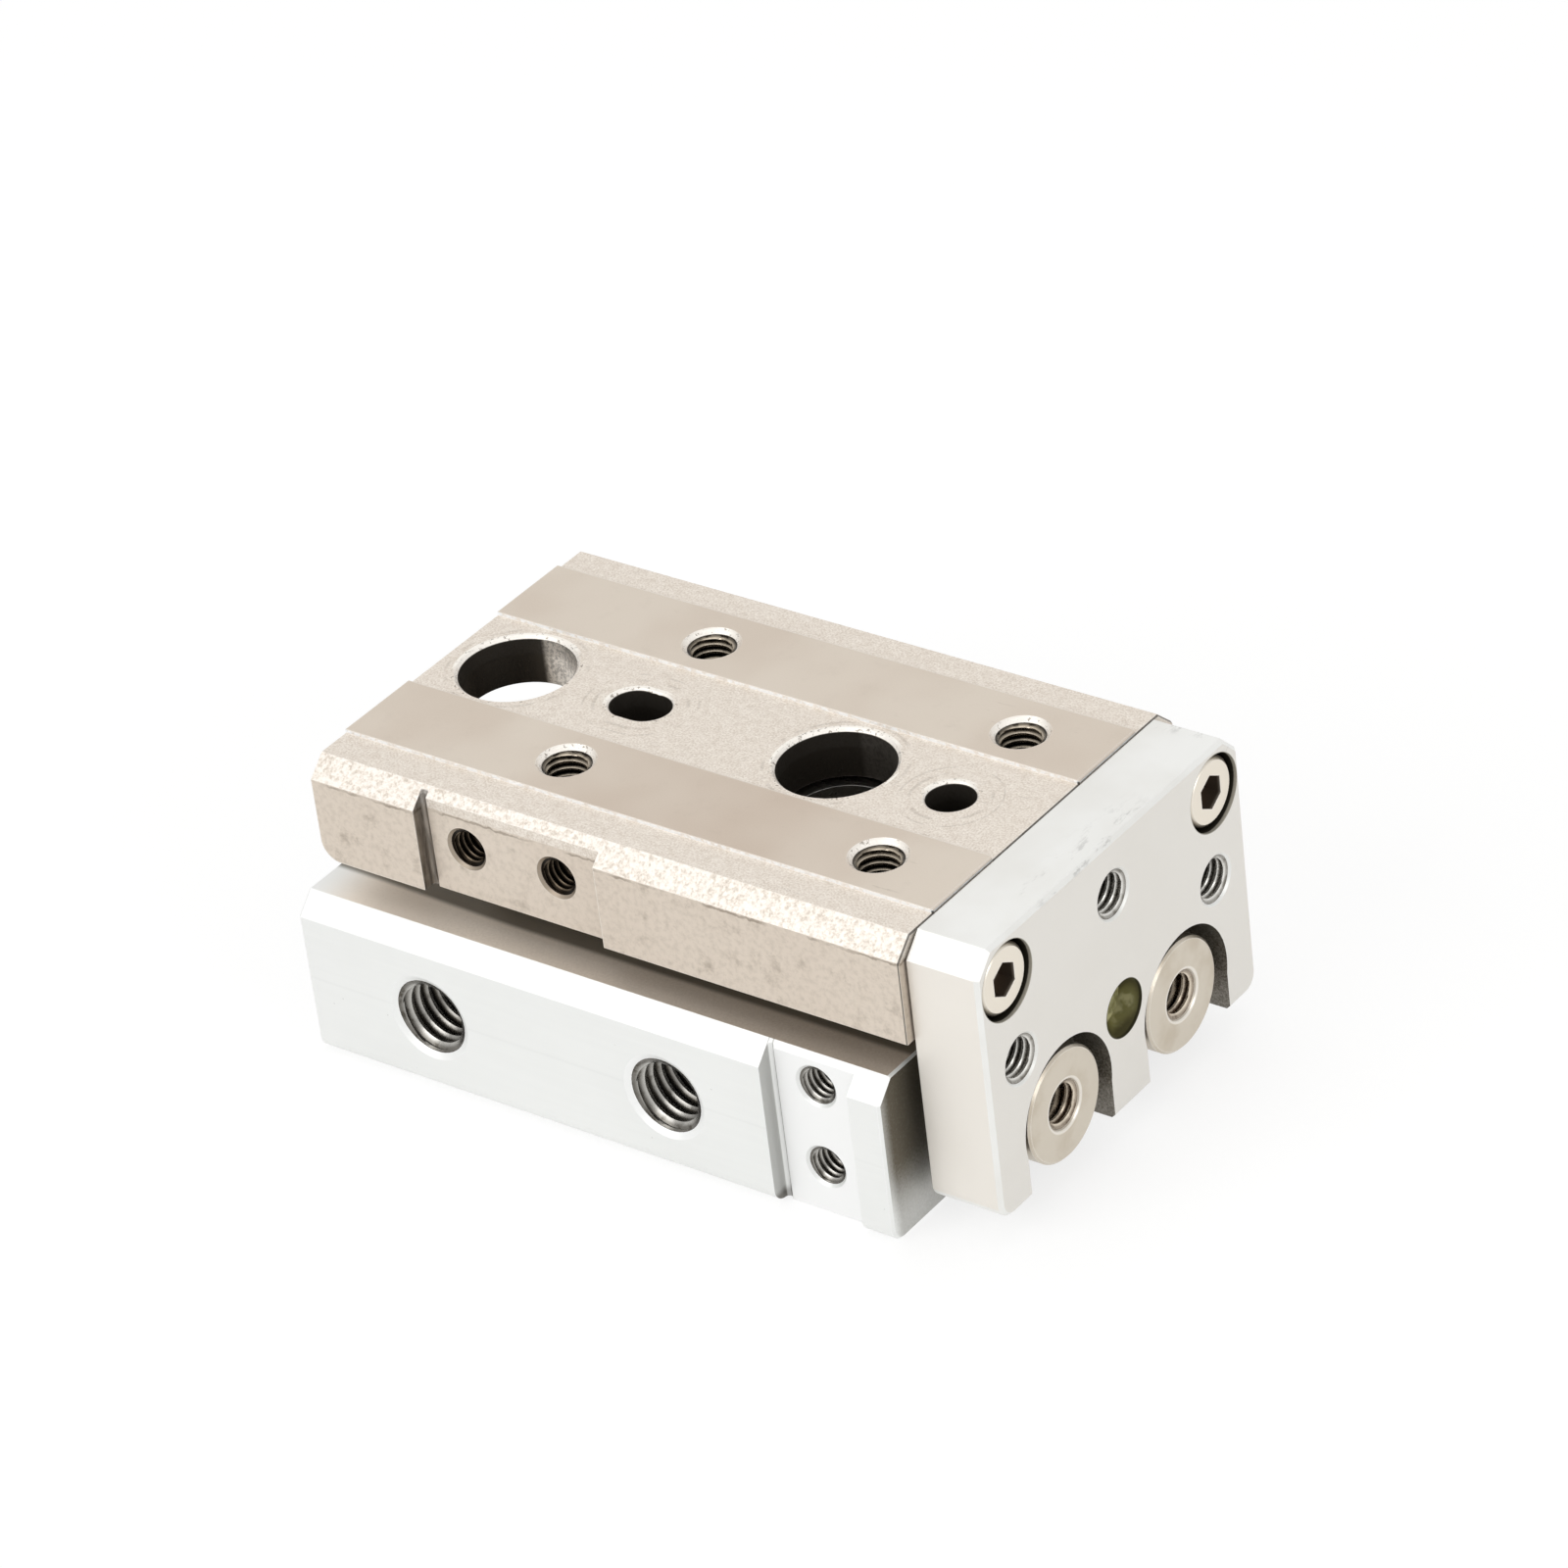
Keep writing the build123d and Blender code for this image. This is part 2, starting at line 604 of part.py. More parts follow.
for side, y in sides:
    # Half section of every turned piece: local X is the radius, local Y runs along +X.
    axis_plane = Plane(origin=(0, y, rod_height), x_dir=(0, 1, 0), z_dir=(0, 0, -1))
    rod_axis = Axis((0, y, rod_height), (1, 0, 0))

    # Head cap: aluminium plug that closes the rear of the bore, with a tapped hole to pull it.
    cap_rear = cap_front - head_cap_length
    with BuildPart() as head_cap:
        with BuildSketch(axis_plane):
            ring_section(0, cover_radius - fit_clearance, cap_rear, head_cap_length)
            ring_section(0, puller_hole_radius, cap_rear, puller_hole_depth, Mode.SUBTRACT)
        revolve(axis=rod_axis)
    head_cap.part.label = f"head_cap_{side}"
    export_step(head_cap.part, f"parts/head_cap_{side}.step")

    # Rod cover: long bush that guides the rod. Its nose is turned down for the O-ring, and a
    # pocket at its front holds the rod seal.
    cover_front = cover_rear + rod_cover_length
    with BuildPart() as rod_cover:
        with BuildSketch(axis_plane):
            cover_bore_radius = rod_radius + rod_clearance
            ring_section(cover_bore_radius, cover_radius - fit_clearance, cover_rear, rod_cover_length)
            ring_section(cover_radius - oring_depth, cover_radius, cover_rear, oring_width, Mode.SUBTRACT)
            ring_section(0, rod_seal_radius, cover_front - rod_seal_length, rod_seal_length, Mode.SUBTRACT)
        revolve(axis=rod_axis)
    rod_cover.part.label = f"rod_cover_{side}"
    export_step(rod_cover.part, f"parts/rod_cover_{side}.step")

    # O-ring on the nose of the rod cover.
    with BuildPart() as rod_cover_oring:
        with BuildSketch(axis_plane):
            ring_section(cover_radius - oring_depth, cover_radius - fit_clearance, cover_rear, oring_width)
        revolve(axis=rod_axis)
    rod_cover_oring.part.label = f"rod_cover_oring_{side}"
    export_step(rod_cover_oring.part, f"parts/rod_cover_oring_{side}.step")

    # Rod seal: rubber ring between the cover's pocket and the rod.
    with BuildPart() as rod_seal:
        with BuildSketch(axis_plane):
            seal_rear = cover_front - rod_seal_length
            ring_section(rod_radius + rod_clearance, rod_seal_radius, seal_rear, rod_seal_length)
        revolve(axis=rod_axis)
    rod_seal.part.label = f"rod_seal_{side}"
    export_step(rod_seal.part, f"parts/rod_seal_{side}.step")

    # Retaining rings: open spring rings that bite into the mouths of the body's bores.
    for ring_name, ring_x in (
        (f"head_cap_ring_{side}", body_rear + ring_inset),
        (f"rod_cover_ring_{side}", body_front - ring_inset - ring_thickness),
    ):
        with BuildPart() as retaining_ring:
            with BuildSketch(Plane.YZ.offset(ring_x)):
                with Locations((y, rod_height)):
                    Circle(ring_seat_radius - fit_clearance)
                    Circle(ring_inner_radius, mode=Mode.SUBTRACT)
                    Rectangle(
                        ring_mouth,
                        ring_seat_radius + cutter_overrun,
                        align=(Align.CENTER, Align.MAX),
                        mode=Mode.SUBTRACT,
                    )
            extrude(amount=ring_thickness)
        retaining_ring.part.label = ring_name
        export_step(retaining_ring.part, f"parts/{ring_name}.step")

    # Piston: aluminium, grooved for its seal. It sits on the rod's spigot against the shaft.
    piston_radius = bore_radius - piston_clearance
    seal_x = piston_front - piston_land - seal_groove_width
    with BuildPart() as piston:
        with BuildSketch(axis_plane):
            ring_section(spigot_radius, piston_radius, piston_rear, piston_length)
            seal_seat_radius = piston_radius - seal_groove_depth
            ring_section(seal_seat_radius, bore_radius, seal_x, seal_groove_width, Mode.SUBTRACT)
            ring_section(0, bore_radius, piston_rear, rivet_length + magnet_width, Mode.SUBTRACT)
        revolve(axis=rod_axis)
    piston.part.label = f"piston_{side}"
    export_step(piston.part, f"parts/piston_{side}.step")

    # Piston seal.
    with BuildPart() as piston_seal:
        with BuildSketch(axis_plane):
            ring_section(
                piston_radius - seal_groove_depth,
                bore_radius - seal_clearance,
                seal_x,
                seal_groove_width,
            )
        revolve(axis=rod_axis)
    piston_seal.part.label = f"piston_seal_{side}"
    export_step(piston_seal.part, f"parts/piston_seal_{side}.step")

    # Ring magnet behind the piston, which works the position switches.
    with BuildPart() as piston_magnet:
        with BuildSketch(axis_plane):
            ring_section(spigot_radius, piston_radius, piston_rear + rivet_length, magnet_width)
        revolve(axis=rod_axis)
    piston_magnet.part.label = f"piston_magnet_{side}"
    export_step(piston_magnet.part, f"parts/piston_magnet_{side}.step")

    # Piston rod: stainless steel. Riveted spigot, shaft, collar behind the end plate, threaded end.
    rod_tip = disc_front - rod_end_inset
    with BuildPart() as piston_rod:
        with BuildSketch(axis_plane):
            ring_section(0, rivet_radius, piston_rear, rivet_length)
            ring_section(0, spigot_radius, piston_rear, piston_length)
            ring_section(0, rod_radius, piston_front, rod_tip - piston_front)
            ring_section(0, collar_radius, table_front + stop_gap, collar_pocket_depth - 2 * stop_gap)
        revolve(axis=rod_axis)
    piston_rod.part.label = f"piston_rod_{side}"
    export_step(piston_rod.part, f"parts/piston_rod_{side}.step")

    # Rod bumper: urethane ring that stops the piston against the rod cover.
    with BuildPart() as rod_bumper:
        with BuildSketch(axis_plane):
            ring_section(rod_radius, rod_bumper_radius, piston_front, rod_bumper_length)
        revolve(axis=rod_axis)
    rod_bumper.part.label = f"rod_bumper_{side}"
    export_step(rod_bumper.part, f"parts/rod_bumper_{side}.step")

    # Rod end disc: plated steel nut that floats in the end plate's pocket.
    disc_length = disc_front - pocket_floor - stop_gap
    with BuildPart() as rod_end_disc:
        with BuildSketch(axis_plane):
            ring_section(rod_thread_radius, disc_radius, disc_front - disc_length, disc_length)
        revolve(axis=rod_axis)
        disc_rims = rod_end_disc.edges().filter_by(GeomType.CIRCLE).group_by(Axis.X)[-1]
        chamfer(disc_rims, length=disc_edge_break)
    rod_end_disc.part.label = f"rod_end_disc_{side}"
    export_step(rod_end_disc.part, f"parts/rod_end_disc_{side}.step")
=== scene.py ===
import math

import bpy
from mathutils import Matrix, Vector


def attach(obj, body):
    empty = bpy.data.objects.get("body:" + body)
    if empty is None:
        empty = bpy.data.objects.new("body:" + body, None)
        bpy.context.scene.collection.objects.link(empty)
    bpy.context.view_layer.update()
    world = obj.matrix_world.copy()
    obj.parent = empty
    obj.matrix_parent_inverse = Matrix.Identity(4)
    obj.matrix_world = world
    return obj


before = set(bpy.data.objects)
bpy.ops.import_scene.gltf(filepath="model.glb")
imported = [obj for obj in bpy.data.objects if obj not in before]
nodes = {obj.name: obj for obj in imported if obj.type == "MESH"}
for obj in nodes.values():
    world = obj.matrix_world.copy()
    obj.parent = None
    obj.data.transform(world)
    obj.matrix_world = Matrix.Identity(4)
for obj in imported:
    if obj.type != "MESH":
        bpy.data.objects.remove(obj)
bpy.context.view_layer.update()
mm = 0.001

# The bench: a sheet of white board under even studio light. Two large soft boxes stand to the
# left of and above the slide, a weaker one to the right, and white card all round fills in the
# shadows and is what the metal reflects.
card_colour = (0.97, 0.97, 0.96, 1.0)
card_size = 6.0
card_drop = 0.02 * mm
card_glow = 0.72
card_white = 1.05
room_glow = 0.62
room_shine = 0.9


class Wire:
    """One socket in a tree of nodes. Sums on wires add the Math nodes that they stand for."""

    def __init__(self, tree, socket=None):
        self.tree = tree
        self.socket = socket

    def node(self, kind, settings=None, inputs=None, output=0):
        """Adds any node: its settings first, then the values or wires of its sockets."""
        made = self.tree.nodes.new(kind)
        for name, value in (settings or {}).items():
            if name == "stops":
                ramp = made.color_ramp
                while len(ramp.elements) < len(value):
                    ramp.elements.new(1.0)
                for element, (position, colour) in zip(ramp.elements, value):
                    element.position = position
                    element.color = colour
            else:
                setattr(made, name, value)
        for name, value in (inputs or {}).items():
            if isinstance(value, Wire):
                self.tree.links.new(value.socket, made.inputs[name])
            else:
                made.inputs[name].default_value = value
        return Wire(self.tree, made.outputs[output] if made.outputs else None)

    def out(self, name):
        """Another output of the node that this wire leaves."""
        return Wire(self.tree, self.socket.node.outputs[name])

    def maths(self, operation, *terms):
        """A Math node on these terms, in their order."""
        return self.node("ShaderNodeMath", {"operation": operation}, dict(enumerate(terms)))

    def __add__(self, other):
        return self.maths("ADD", self, other)

    __radd__ = __add__

    def __sub__(self, other):
        return self.maths("SUBTRACT", self, other)

    def __rsub__(self, other):
        return self.maths("SUBTRACT", other, self)

    def __neg__(self):
        return self.maths("SUBTRACT", 0, self)

    def __mul__(self, other):
        return self.maths("MULTIPLY", self, other)

    __rmul__ = __mul__

    def __truediv__(self, other):
        return self.maths("DIVIDE", self, other)

    def __rtruediv__(self, other):
        return self.maths("DIVIDE", other, self)

    def __pow__(self, other):
        return self.maths("POWER", self, other)

    def __abs__(self):
        return self.maths("ABSOLUTE", self)

    def least(self, other):
        return self.maths("MINIMUM", self, other)

    def most(self, other):
        return self.maths("MAXIMUM", self, other)

    def clamped(self):
        """This value, held between 0 and 1."""
        return self.most(0).least(1)

    def above(self, level):
        """1 above a level, 0 below it."""
        return self.maths("GREATER_THAN", self, level)

    def rise(self, low, high):
        """0 below low and 1 above high, smooth between them; the other way round if low is more."""
        flip = low > high
        made = self.node(
            "ShaderNodeMapRange",
            {"interpolation_type": "SMOOTHSTEP"},
            {"Value": self, "From Min": min(low, high), "From Max": max(low, high)},
        )
        return 1 - made if flip else made

    def between(self, low, high, soft=0.05):
        """1 from low to high, falling to 0 over a soft edge on either side."""
        return self.rise(low - soft, low) * self.rise(high + soft, high)

    def near(self, middle, reach, soft=0.05):
        """1 within reach of a middle value."""
        return self.between(middle - reach, middle + reach, soft)

    def shades(self, *stops):
        """The colour that a ramp gives for this value; a stop is a position and a colour."""
        return self.node("ShaderNodeValToRGB", {"stops": stops}, {0: self})

    def tint(self, other, share):
        """This colour with a share of the other one laid over it."""
        return self.node(
            "ShaderNodeMix", {"data_type": "RGBA"}, {0: share, 6: self, 7: other}, output=2
        )


def colour_of(red, green, blue):
    """A colour as a screen shows it, 0 to 255, in the light that shaders reckon with."""
    linear = [((c / 255 + 0.055) / 1.055) ** 2.4 for c in (red, green, blue)]
    return (*linear, 1.0)


board = bpy.data.materials.new("white_board")
board.use_nodes = True
board.node_tree.nodes.clear()
board_wire = Wire(board.node_tree)
board_path = board_wire.node("ShaderNodeLightPath")
board_seen = board_path.out("Is Camera Ray").most(board_path.out("Is Glossy Ray"))
board_seen = board_seen.most(board_path.out("Is Transmission Ray"))
board_surface = board_wire.node(
    "ShaderNodeMixShader",
    {},
    {
        0: board_seen * card_glow,
        1: board_wire.node("ShaderNodeBsdfDiffuse", {}, {"Color": card_colour}),
        2: board_wire.node("ShaderNodeEmission", {}, {"Strength": card_white}),
    },
)
board_wire.node("ShaderNodeOutputMaterial", {}, {"Surface": board_surface})
board_mesh = bpy.data.meshes.new("white_board")
half_card = card_size / 2
card_signs = ((-1, -1), (1, -1), (1, 1), (-1, 1))
card_corners = [(a * half_card, b * half_card, -card_drop) for a, b in card_signs]
board_mesh.from_pydata(card_corners, [], [(0, 1, 2, 3)])
board_mesh.materials.append(board)
board_sheet = bpy.data.objects.new("white_board", board_mesh)
bpy.context.scene.collection.objects.link(board_sheet)

room = bpy.data.worlds.new("white_card_room")
room.use_nodes = True
room.node_tree.nodes.clear()
room_wire = Wire(room.node_tree)
room_path = room_wire.node("ShaderNodeLightPath")
room_seen = room_path.out("Is Camera Ray").most(room_path.out("Is Transmission Ray"))
room_strength = (
    room_seen * (1 - room_glow)
    + room_path.out("Is Glossy Ray") * (1 - room_seen) * (room_shine - room_glow)
    + room_glow
)
room_light = room_wire.node(
    "ShaderNodeBackground", {}, {"Color": (1, 1, 1, 1), "Strength": room_strength}
)
room_wire.node("ShaderNodeOutputWorld", {}, {"Surface": room_light})
bpy.context.scene.world = room


def soft_box(name, place, side, power, aim=(0.0, 0.0, 0.01)):
    """A square studio lamp, its face turned to the slide."""
    lamp = bpy.data.lights.new(name, "AREA")
    lamp.shape = "SQUARE"
    lamp.size = side
    lamp.energy = power
    stand = bpy.data.objects.new(name, lamp)
    stand.location = place
    stand.rotation_euler = (Vector(aim) - Vector(place)).to_track_quat("-Z", "Y").to_euler()
    bpy.context.scene.collection.objects.link(stand)


soft_box("left_box", place=(-0.16, -0.52, 0.34), side=0.42, power=1.15)
soft_box("top_box", place=(-0.05, 0.05, 0.62), side=0.5, power=0.75)
soft_box("right_box", place=(0.6, -0.12, 0.26), side=0.3, power=0.6)

lens_place = Vector((214.1876, -253.0356, 225.0896)) * mm
lens_right = Vector((0.808024, 0.579772, -0.104698))
lens_down = Vector((0.240286, -0.486567, -0.839949))
lens_ahead = lens_right.cross(lens_down)
lens = bpy.data.cameras.new("camera")
lens.lens = 152.642
lens.sensor_width = 36.0
lens.shift_x = -0.014027
lens.shift_y = -0.012081
lens.clip_start = 0.01
camera = bpy.data.objects.new("camera", lens)
turn = Matrix((lens_right, -lens_down, -lens_ahead)).transposed()
camera.matrix_world = Matrix.Translation(lens_place) @ turn.to_4x4()
bpy.context.scene.collection.objects.link(camera)
bpy.context.scene.camera = camera
bpy.context.scene.view_settings.view_transform = "Standard"

# The body: a drawn aluminium bar, milled on every side, drilled for two cylinders and clear
# anodised to a silky silver grey. Its ports and mounting holes are tapped after anodising, so
# their threads are bright cut metal.
body_rear = -21.25
body_front = 21.25
body_top = 11.0
port_side = -16.0
port_axes = ((-12.0, 5.2), (5.45, 5.2))
port_radius = 2.5
port_rim_radius = 2.9
body_flat_side = -15.05
body_flat_groove = 13.1
body_flat_axes = ((16.1, 3.2), (16.1, 8.82))
base_axes = ((-15.4, 0.0), (8.2, 0.0))
groove_reach = 0.26
seam_height = 5.4
shadow_start = -12.3
shadow_full = -11.8
anodised_colour = colour_of(237, 238, 236)
anodised_shade = colour_of(216, 217, 215)
anodised_wear_and_light = colour_of(252, 252, 252)
speck_colour = colour_of(150, 148, 143)
groove_shade_colour = colour_of(92, 88, 80)
milled_top_colour = colour_of(246, 236, 223)
top_oil_and_painted_shade = colour_of(190, 176, 160)
painted_shade_brown = colour_of(100, 93, 79)
cut_bright = colour_of(196, 194, 189)
cut_dark = colour_of(84, 80, 73)


def finish(name, sockets):
    """A material: sockets is called with a wire of its tree and says what feeds the shader."""
    material = bpy.data.materials.new(name)
    material.use_nodes = True
    material.node_tree.nodes.clear()
    start = Wire(material.node_tree)
    shader = start.node("ShaderNodeBsdfPrincipled", {}, sockets(start))
    start.node("ShaderNodeOutputMaterial", {}, {"Surface": shader})
    return material


def dress(material, *names):
    """Gives CAD nodes their finish."""
    for name in names:
        mesh = nodes[name].data
        if not mesh.materials:
            mesh.materials.append(material)
        for slot in nodes[name].material_slots:
            slot.material = material


def where(start):
    """The point on the piece in millimetres, as a vector and as x, y and z."""
    coordinates = start.node("ShaderNodeTexCoord").out("Object")
    scale = {"operation": "SCALE"}
    spot = start.node("ShaderNodeVectorMath", scale, {0: coordinates, "Scale": 1 / mm})
    parts = start.node("ShaderNodeSeparateXYZ", {}, {0: spot})
    return spot, parts.out("X"), parts.out("Y"), parts.out("Z")


def facing(start):
    """The way that the surface looks, as x, y and z."""
    normal = start.node("ShaderNodeTexCoord").out("Normal")
    parts = start.node("ShaderNodeSeparateXYZ", {}, {0: normal})
    return parts.out("X"), parts.out("Y"), parts.out("Z")


def clouds(spot, size, detail=2.0, roughness=0.5, stretch=(1.0, 1.0, 1.0)):
    """Noise around 0.5 with blotches about as wide as size, in millimetres."""
    pulled = spot.node("ShaderNodeVectorMath", {"operation": "MULTIPLY"}, {0: spot, 1: stretch})
    return spot.node(
        "ShaderNodeTexNoise",
        {"noise_dimensions": "3D"},
        {"Vector": pulled, "Scale": 1 / size, "Detail": detail, "Roughness": roughness},
    )


def worn_edge(start, radius):
    """1 on the outer and inner edges of the piece, 0 away from them."""
    rounded = start.node("ShaderNodeBevel", {"samples": 6}, {"Radius": radius * mm})
    flat = start.node("ShaderNodeNewGeometry").out("Normal")
    dot = {"operation": "DOT_PRODUCT"}
    match = start.node("ShaderNodeVectorMath", dot, {0: rounded, 1: flat}).out("Value")
    return (1 - match).rise(0.0, 0.12)


def relief(start, height, depth, edge=0.06):
    """The normal of a surface with softened edges and a height in it, 0 to 1 over depth mm."""
    rounded = start.node("ShaderNodeBevel", {"samples": 4}, {"Radius": edge * mm})
    return start.node(
        "ShaderNodeBump",
        {},
        {"Strength": 1.0, "Distance": depth * mm, "Height": height, "Normal": rounded},
    )


def from_axes(u, v, places):
    """How far a point lies from the nearest of some holes' axes, in millimetres."""
    gaps = [((u - a) * (u - a) + (v - b) * (v - b)) ** 0.5 for a, b in places]
    nearest = gaps[0]
    for gap in gaps[1:]:
        nearest = nearest.least(gap)
    return nearest


def plain(start, colour):
    """One colour as a wire, for tints to be laid over."""
    made = start.node("ShaderNodeRGB")
    made.socket.default_value = colour
    return made


def anodised(start):
    """Silky grey. The top and the front end are only milled and have taken on an oily brown,
    deepened with painted shade.
    """
    spot, x, y, z = where(start)
    face_x, face_y, face_z = facing(start)
    fine = clouds(spot, 0.09, detail=3.0)
    broad = clouds(spot, 6.0, detail=3.0)
    drawn = clouds(spot, 0.35, stretch=(0.03, 1.0, 1.0))
    grains = clouds(spot, 0.16, detail=3.0, roughness=0.7)
    specks = clouds(spot, 0.42, detail=1.0).rise(0.775, 0.8)
    on_side = y.rise(port_side + 0.1, port_side + 0.03)
    seam = z.near(seam_height, 0.05, soft=0.08) * on_side
    shade = (broad - 0.5) * 0.3 + (drawn - 0.5) * 0.16 * on_side + seam * 0.12 + 0.04
    tone = plain(start, anodised_colour).tint(anodised_shade, shade.clamped())
    tone = tone.tint(speck_colour, specks * 0.35 * on_side)
    tone = tone.tint(anodised_wear_and_light, worn_edge(start, 0.16) * 0.7)
    # The warm colour of the milled top fades in from the rear end. Painted shade darkens it
    # towards the front, and a painted shadow lies along the table's edge.
    on_top = face_z.rise(0.9, 0.99) * z.rise(body_top - 0.2, body_top - 0.05)
    tone = tone.tint(milled_top_colour, on_top * x.rise(body_rear - 0.15, body_rear + 3.75))
    oil_and_painted_shade = (x.rise(-16.0, 20.0) * 0.8 + (grains - 0.5) * 0.6).most(0)
    tone = tone.tint(top_oil_and_painted_shade, on_top * oil_and_painted_shade * x.rise(body_rear - 0.15, body_rear + 4.25))
    # A painted shadow darkens the top along the table's side.
    shaded = (y + x.rise(-21.0, -6.0) * 0.35).rise(shadow_start, shadow_full)
    tone = tone.tint(painted_shade_brown, on_top * shaded * 0.85)
    # The front end is darkened with painted shade, most towards the top and the plate.
    on_front = face_x.rise(0.9, 0.99) * x.rise(body_front - 0.25, body_front - 0.05)
    front_painted_shade = z.rise(0.8, 5.6) * 0.55 + y.rise(port_side, port_side + 1) * 0.45
    front_painted_shade = front_painted_shade + (grains - 0.5) * 0.3
    tone = tone.tint(painted_shade_brown, on_front * front_painted_shade.clamped())
    # The adjuster flat is painted paler, as painted light. Two dark lines of painted shade run down
    # the groove at its end, and its foot is painted dark as shade.
    on_flat = (-face_y).rise(0.9, 0.99) * y.rise(body_flat_side - 0.45, body_flat_side - 0.25)
    tone = tone.tint(anodised_wear_and_light, on_flat * 0.6)
    in_groove = x.near(body_flat_groove, groove_reach, soft=0.02)
    in_groove = in_groove * y.rise(body_flat_side + 0.45, body_flat_side + 0.35)
    rear_line = x.between(body_flat_groove - 0.27, body_flat_groove - 0.22, soft=0.02)
    front_line = x.between(body_flat_groove + 0.05, body_flat_groove + 0.12, soft=0.04)
    lines = rear_line.most(front_line) * 0.4 + z.rise(0.9, 0.3) * 0.5
    tone = tone.tint(groove_shade_colour, in_groove * lines)
    # The ports' countersinks are painted paler as painted light, most towards the front and the
    # top.
    off_port = from_axes(x, z, port_axes)
    port_sink = off_port.between(port_radius + 0.02, port_rim_radius - 0.02, soft=0.02)
    port_sink = port_sink * y.rise(port_side + 6, port_side + 5)
    tone = tone.tint(anodised_wear_and_light, port_sink * (x + z).rise(-30.0, 30.0) * 0.6)
    return {
        "Base Color": tone,
        "Metallic": 0.55,
        "Roughness": (fine - 0.5) * 0.12 + 0.46,
        "Normal": relief(start, fine * 0.6 + drawn * 0.4, 0.006),
    }


anodised_body = finish("anodised_body", anodised)
dress(anodised_body, "body")


def tapped(bright, dark, extra_darkening):
    """The finish of a cut thread: bright crests, with grime and painted shade darkening the roots
    and the depths.
    """

    def sockets(start):
        spot = where(start)[0]
        fine = clouds(spot, 0.12, detail=3.0)
        grime = clouds(spot, 0.6, detail=3.0).rise(0.5, 0.7)
        root = start.node("ShaderNodeAttribute", {"attribute_name": "root"}).out("Fac")
        deep = start.node("ShaderNodeAttribute", {"attribute_name": "deep"}).out("Fac")
        grime_and_shade = root.rise(0.05, 0.7) * 0.7 + grime * 0.25 + deep * 0.75 + extra_darkening
        return {
            "Base Color": plain(start, bright).tint(dark, grime_and_shade.clamped()),
            "Metallic": 1.0,
            "Roughness": (fine - 0.5) * 0.2 + 0.28,
            "Normal": relief(start, fine, 0.004, edge=0.02),
        }

    return sockets


cut_metal = finish("cut_aluminium", tapped(cut_bright, cut_dark, extra_darkening=0.08))


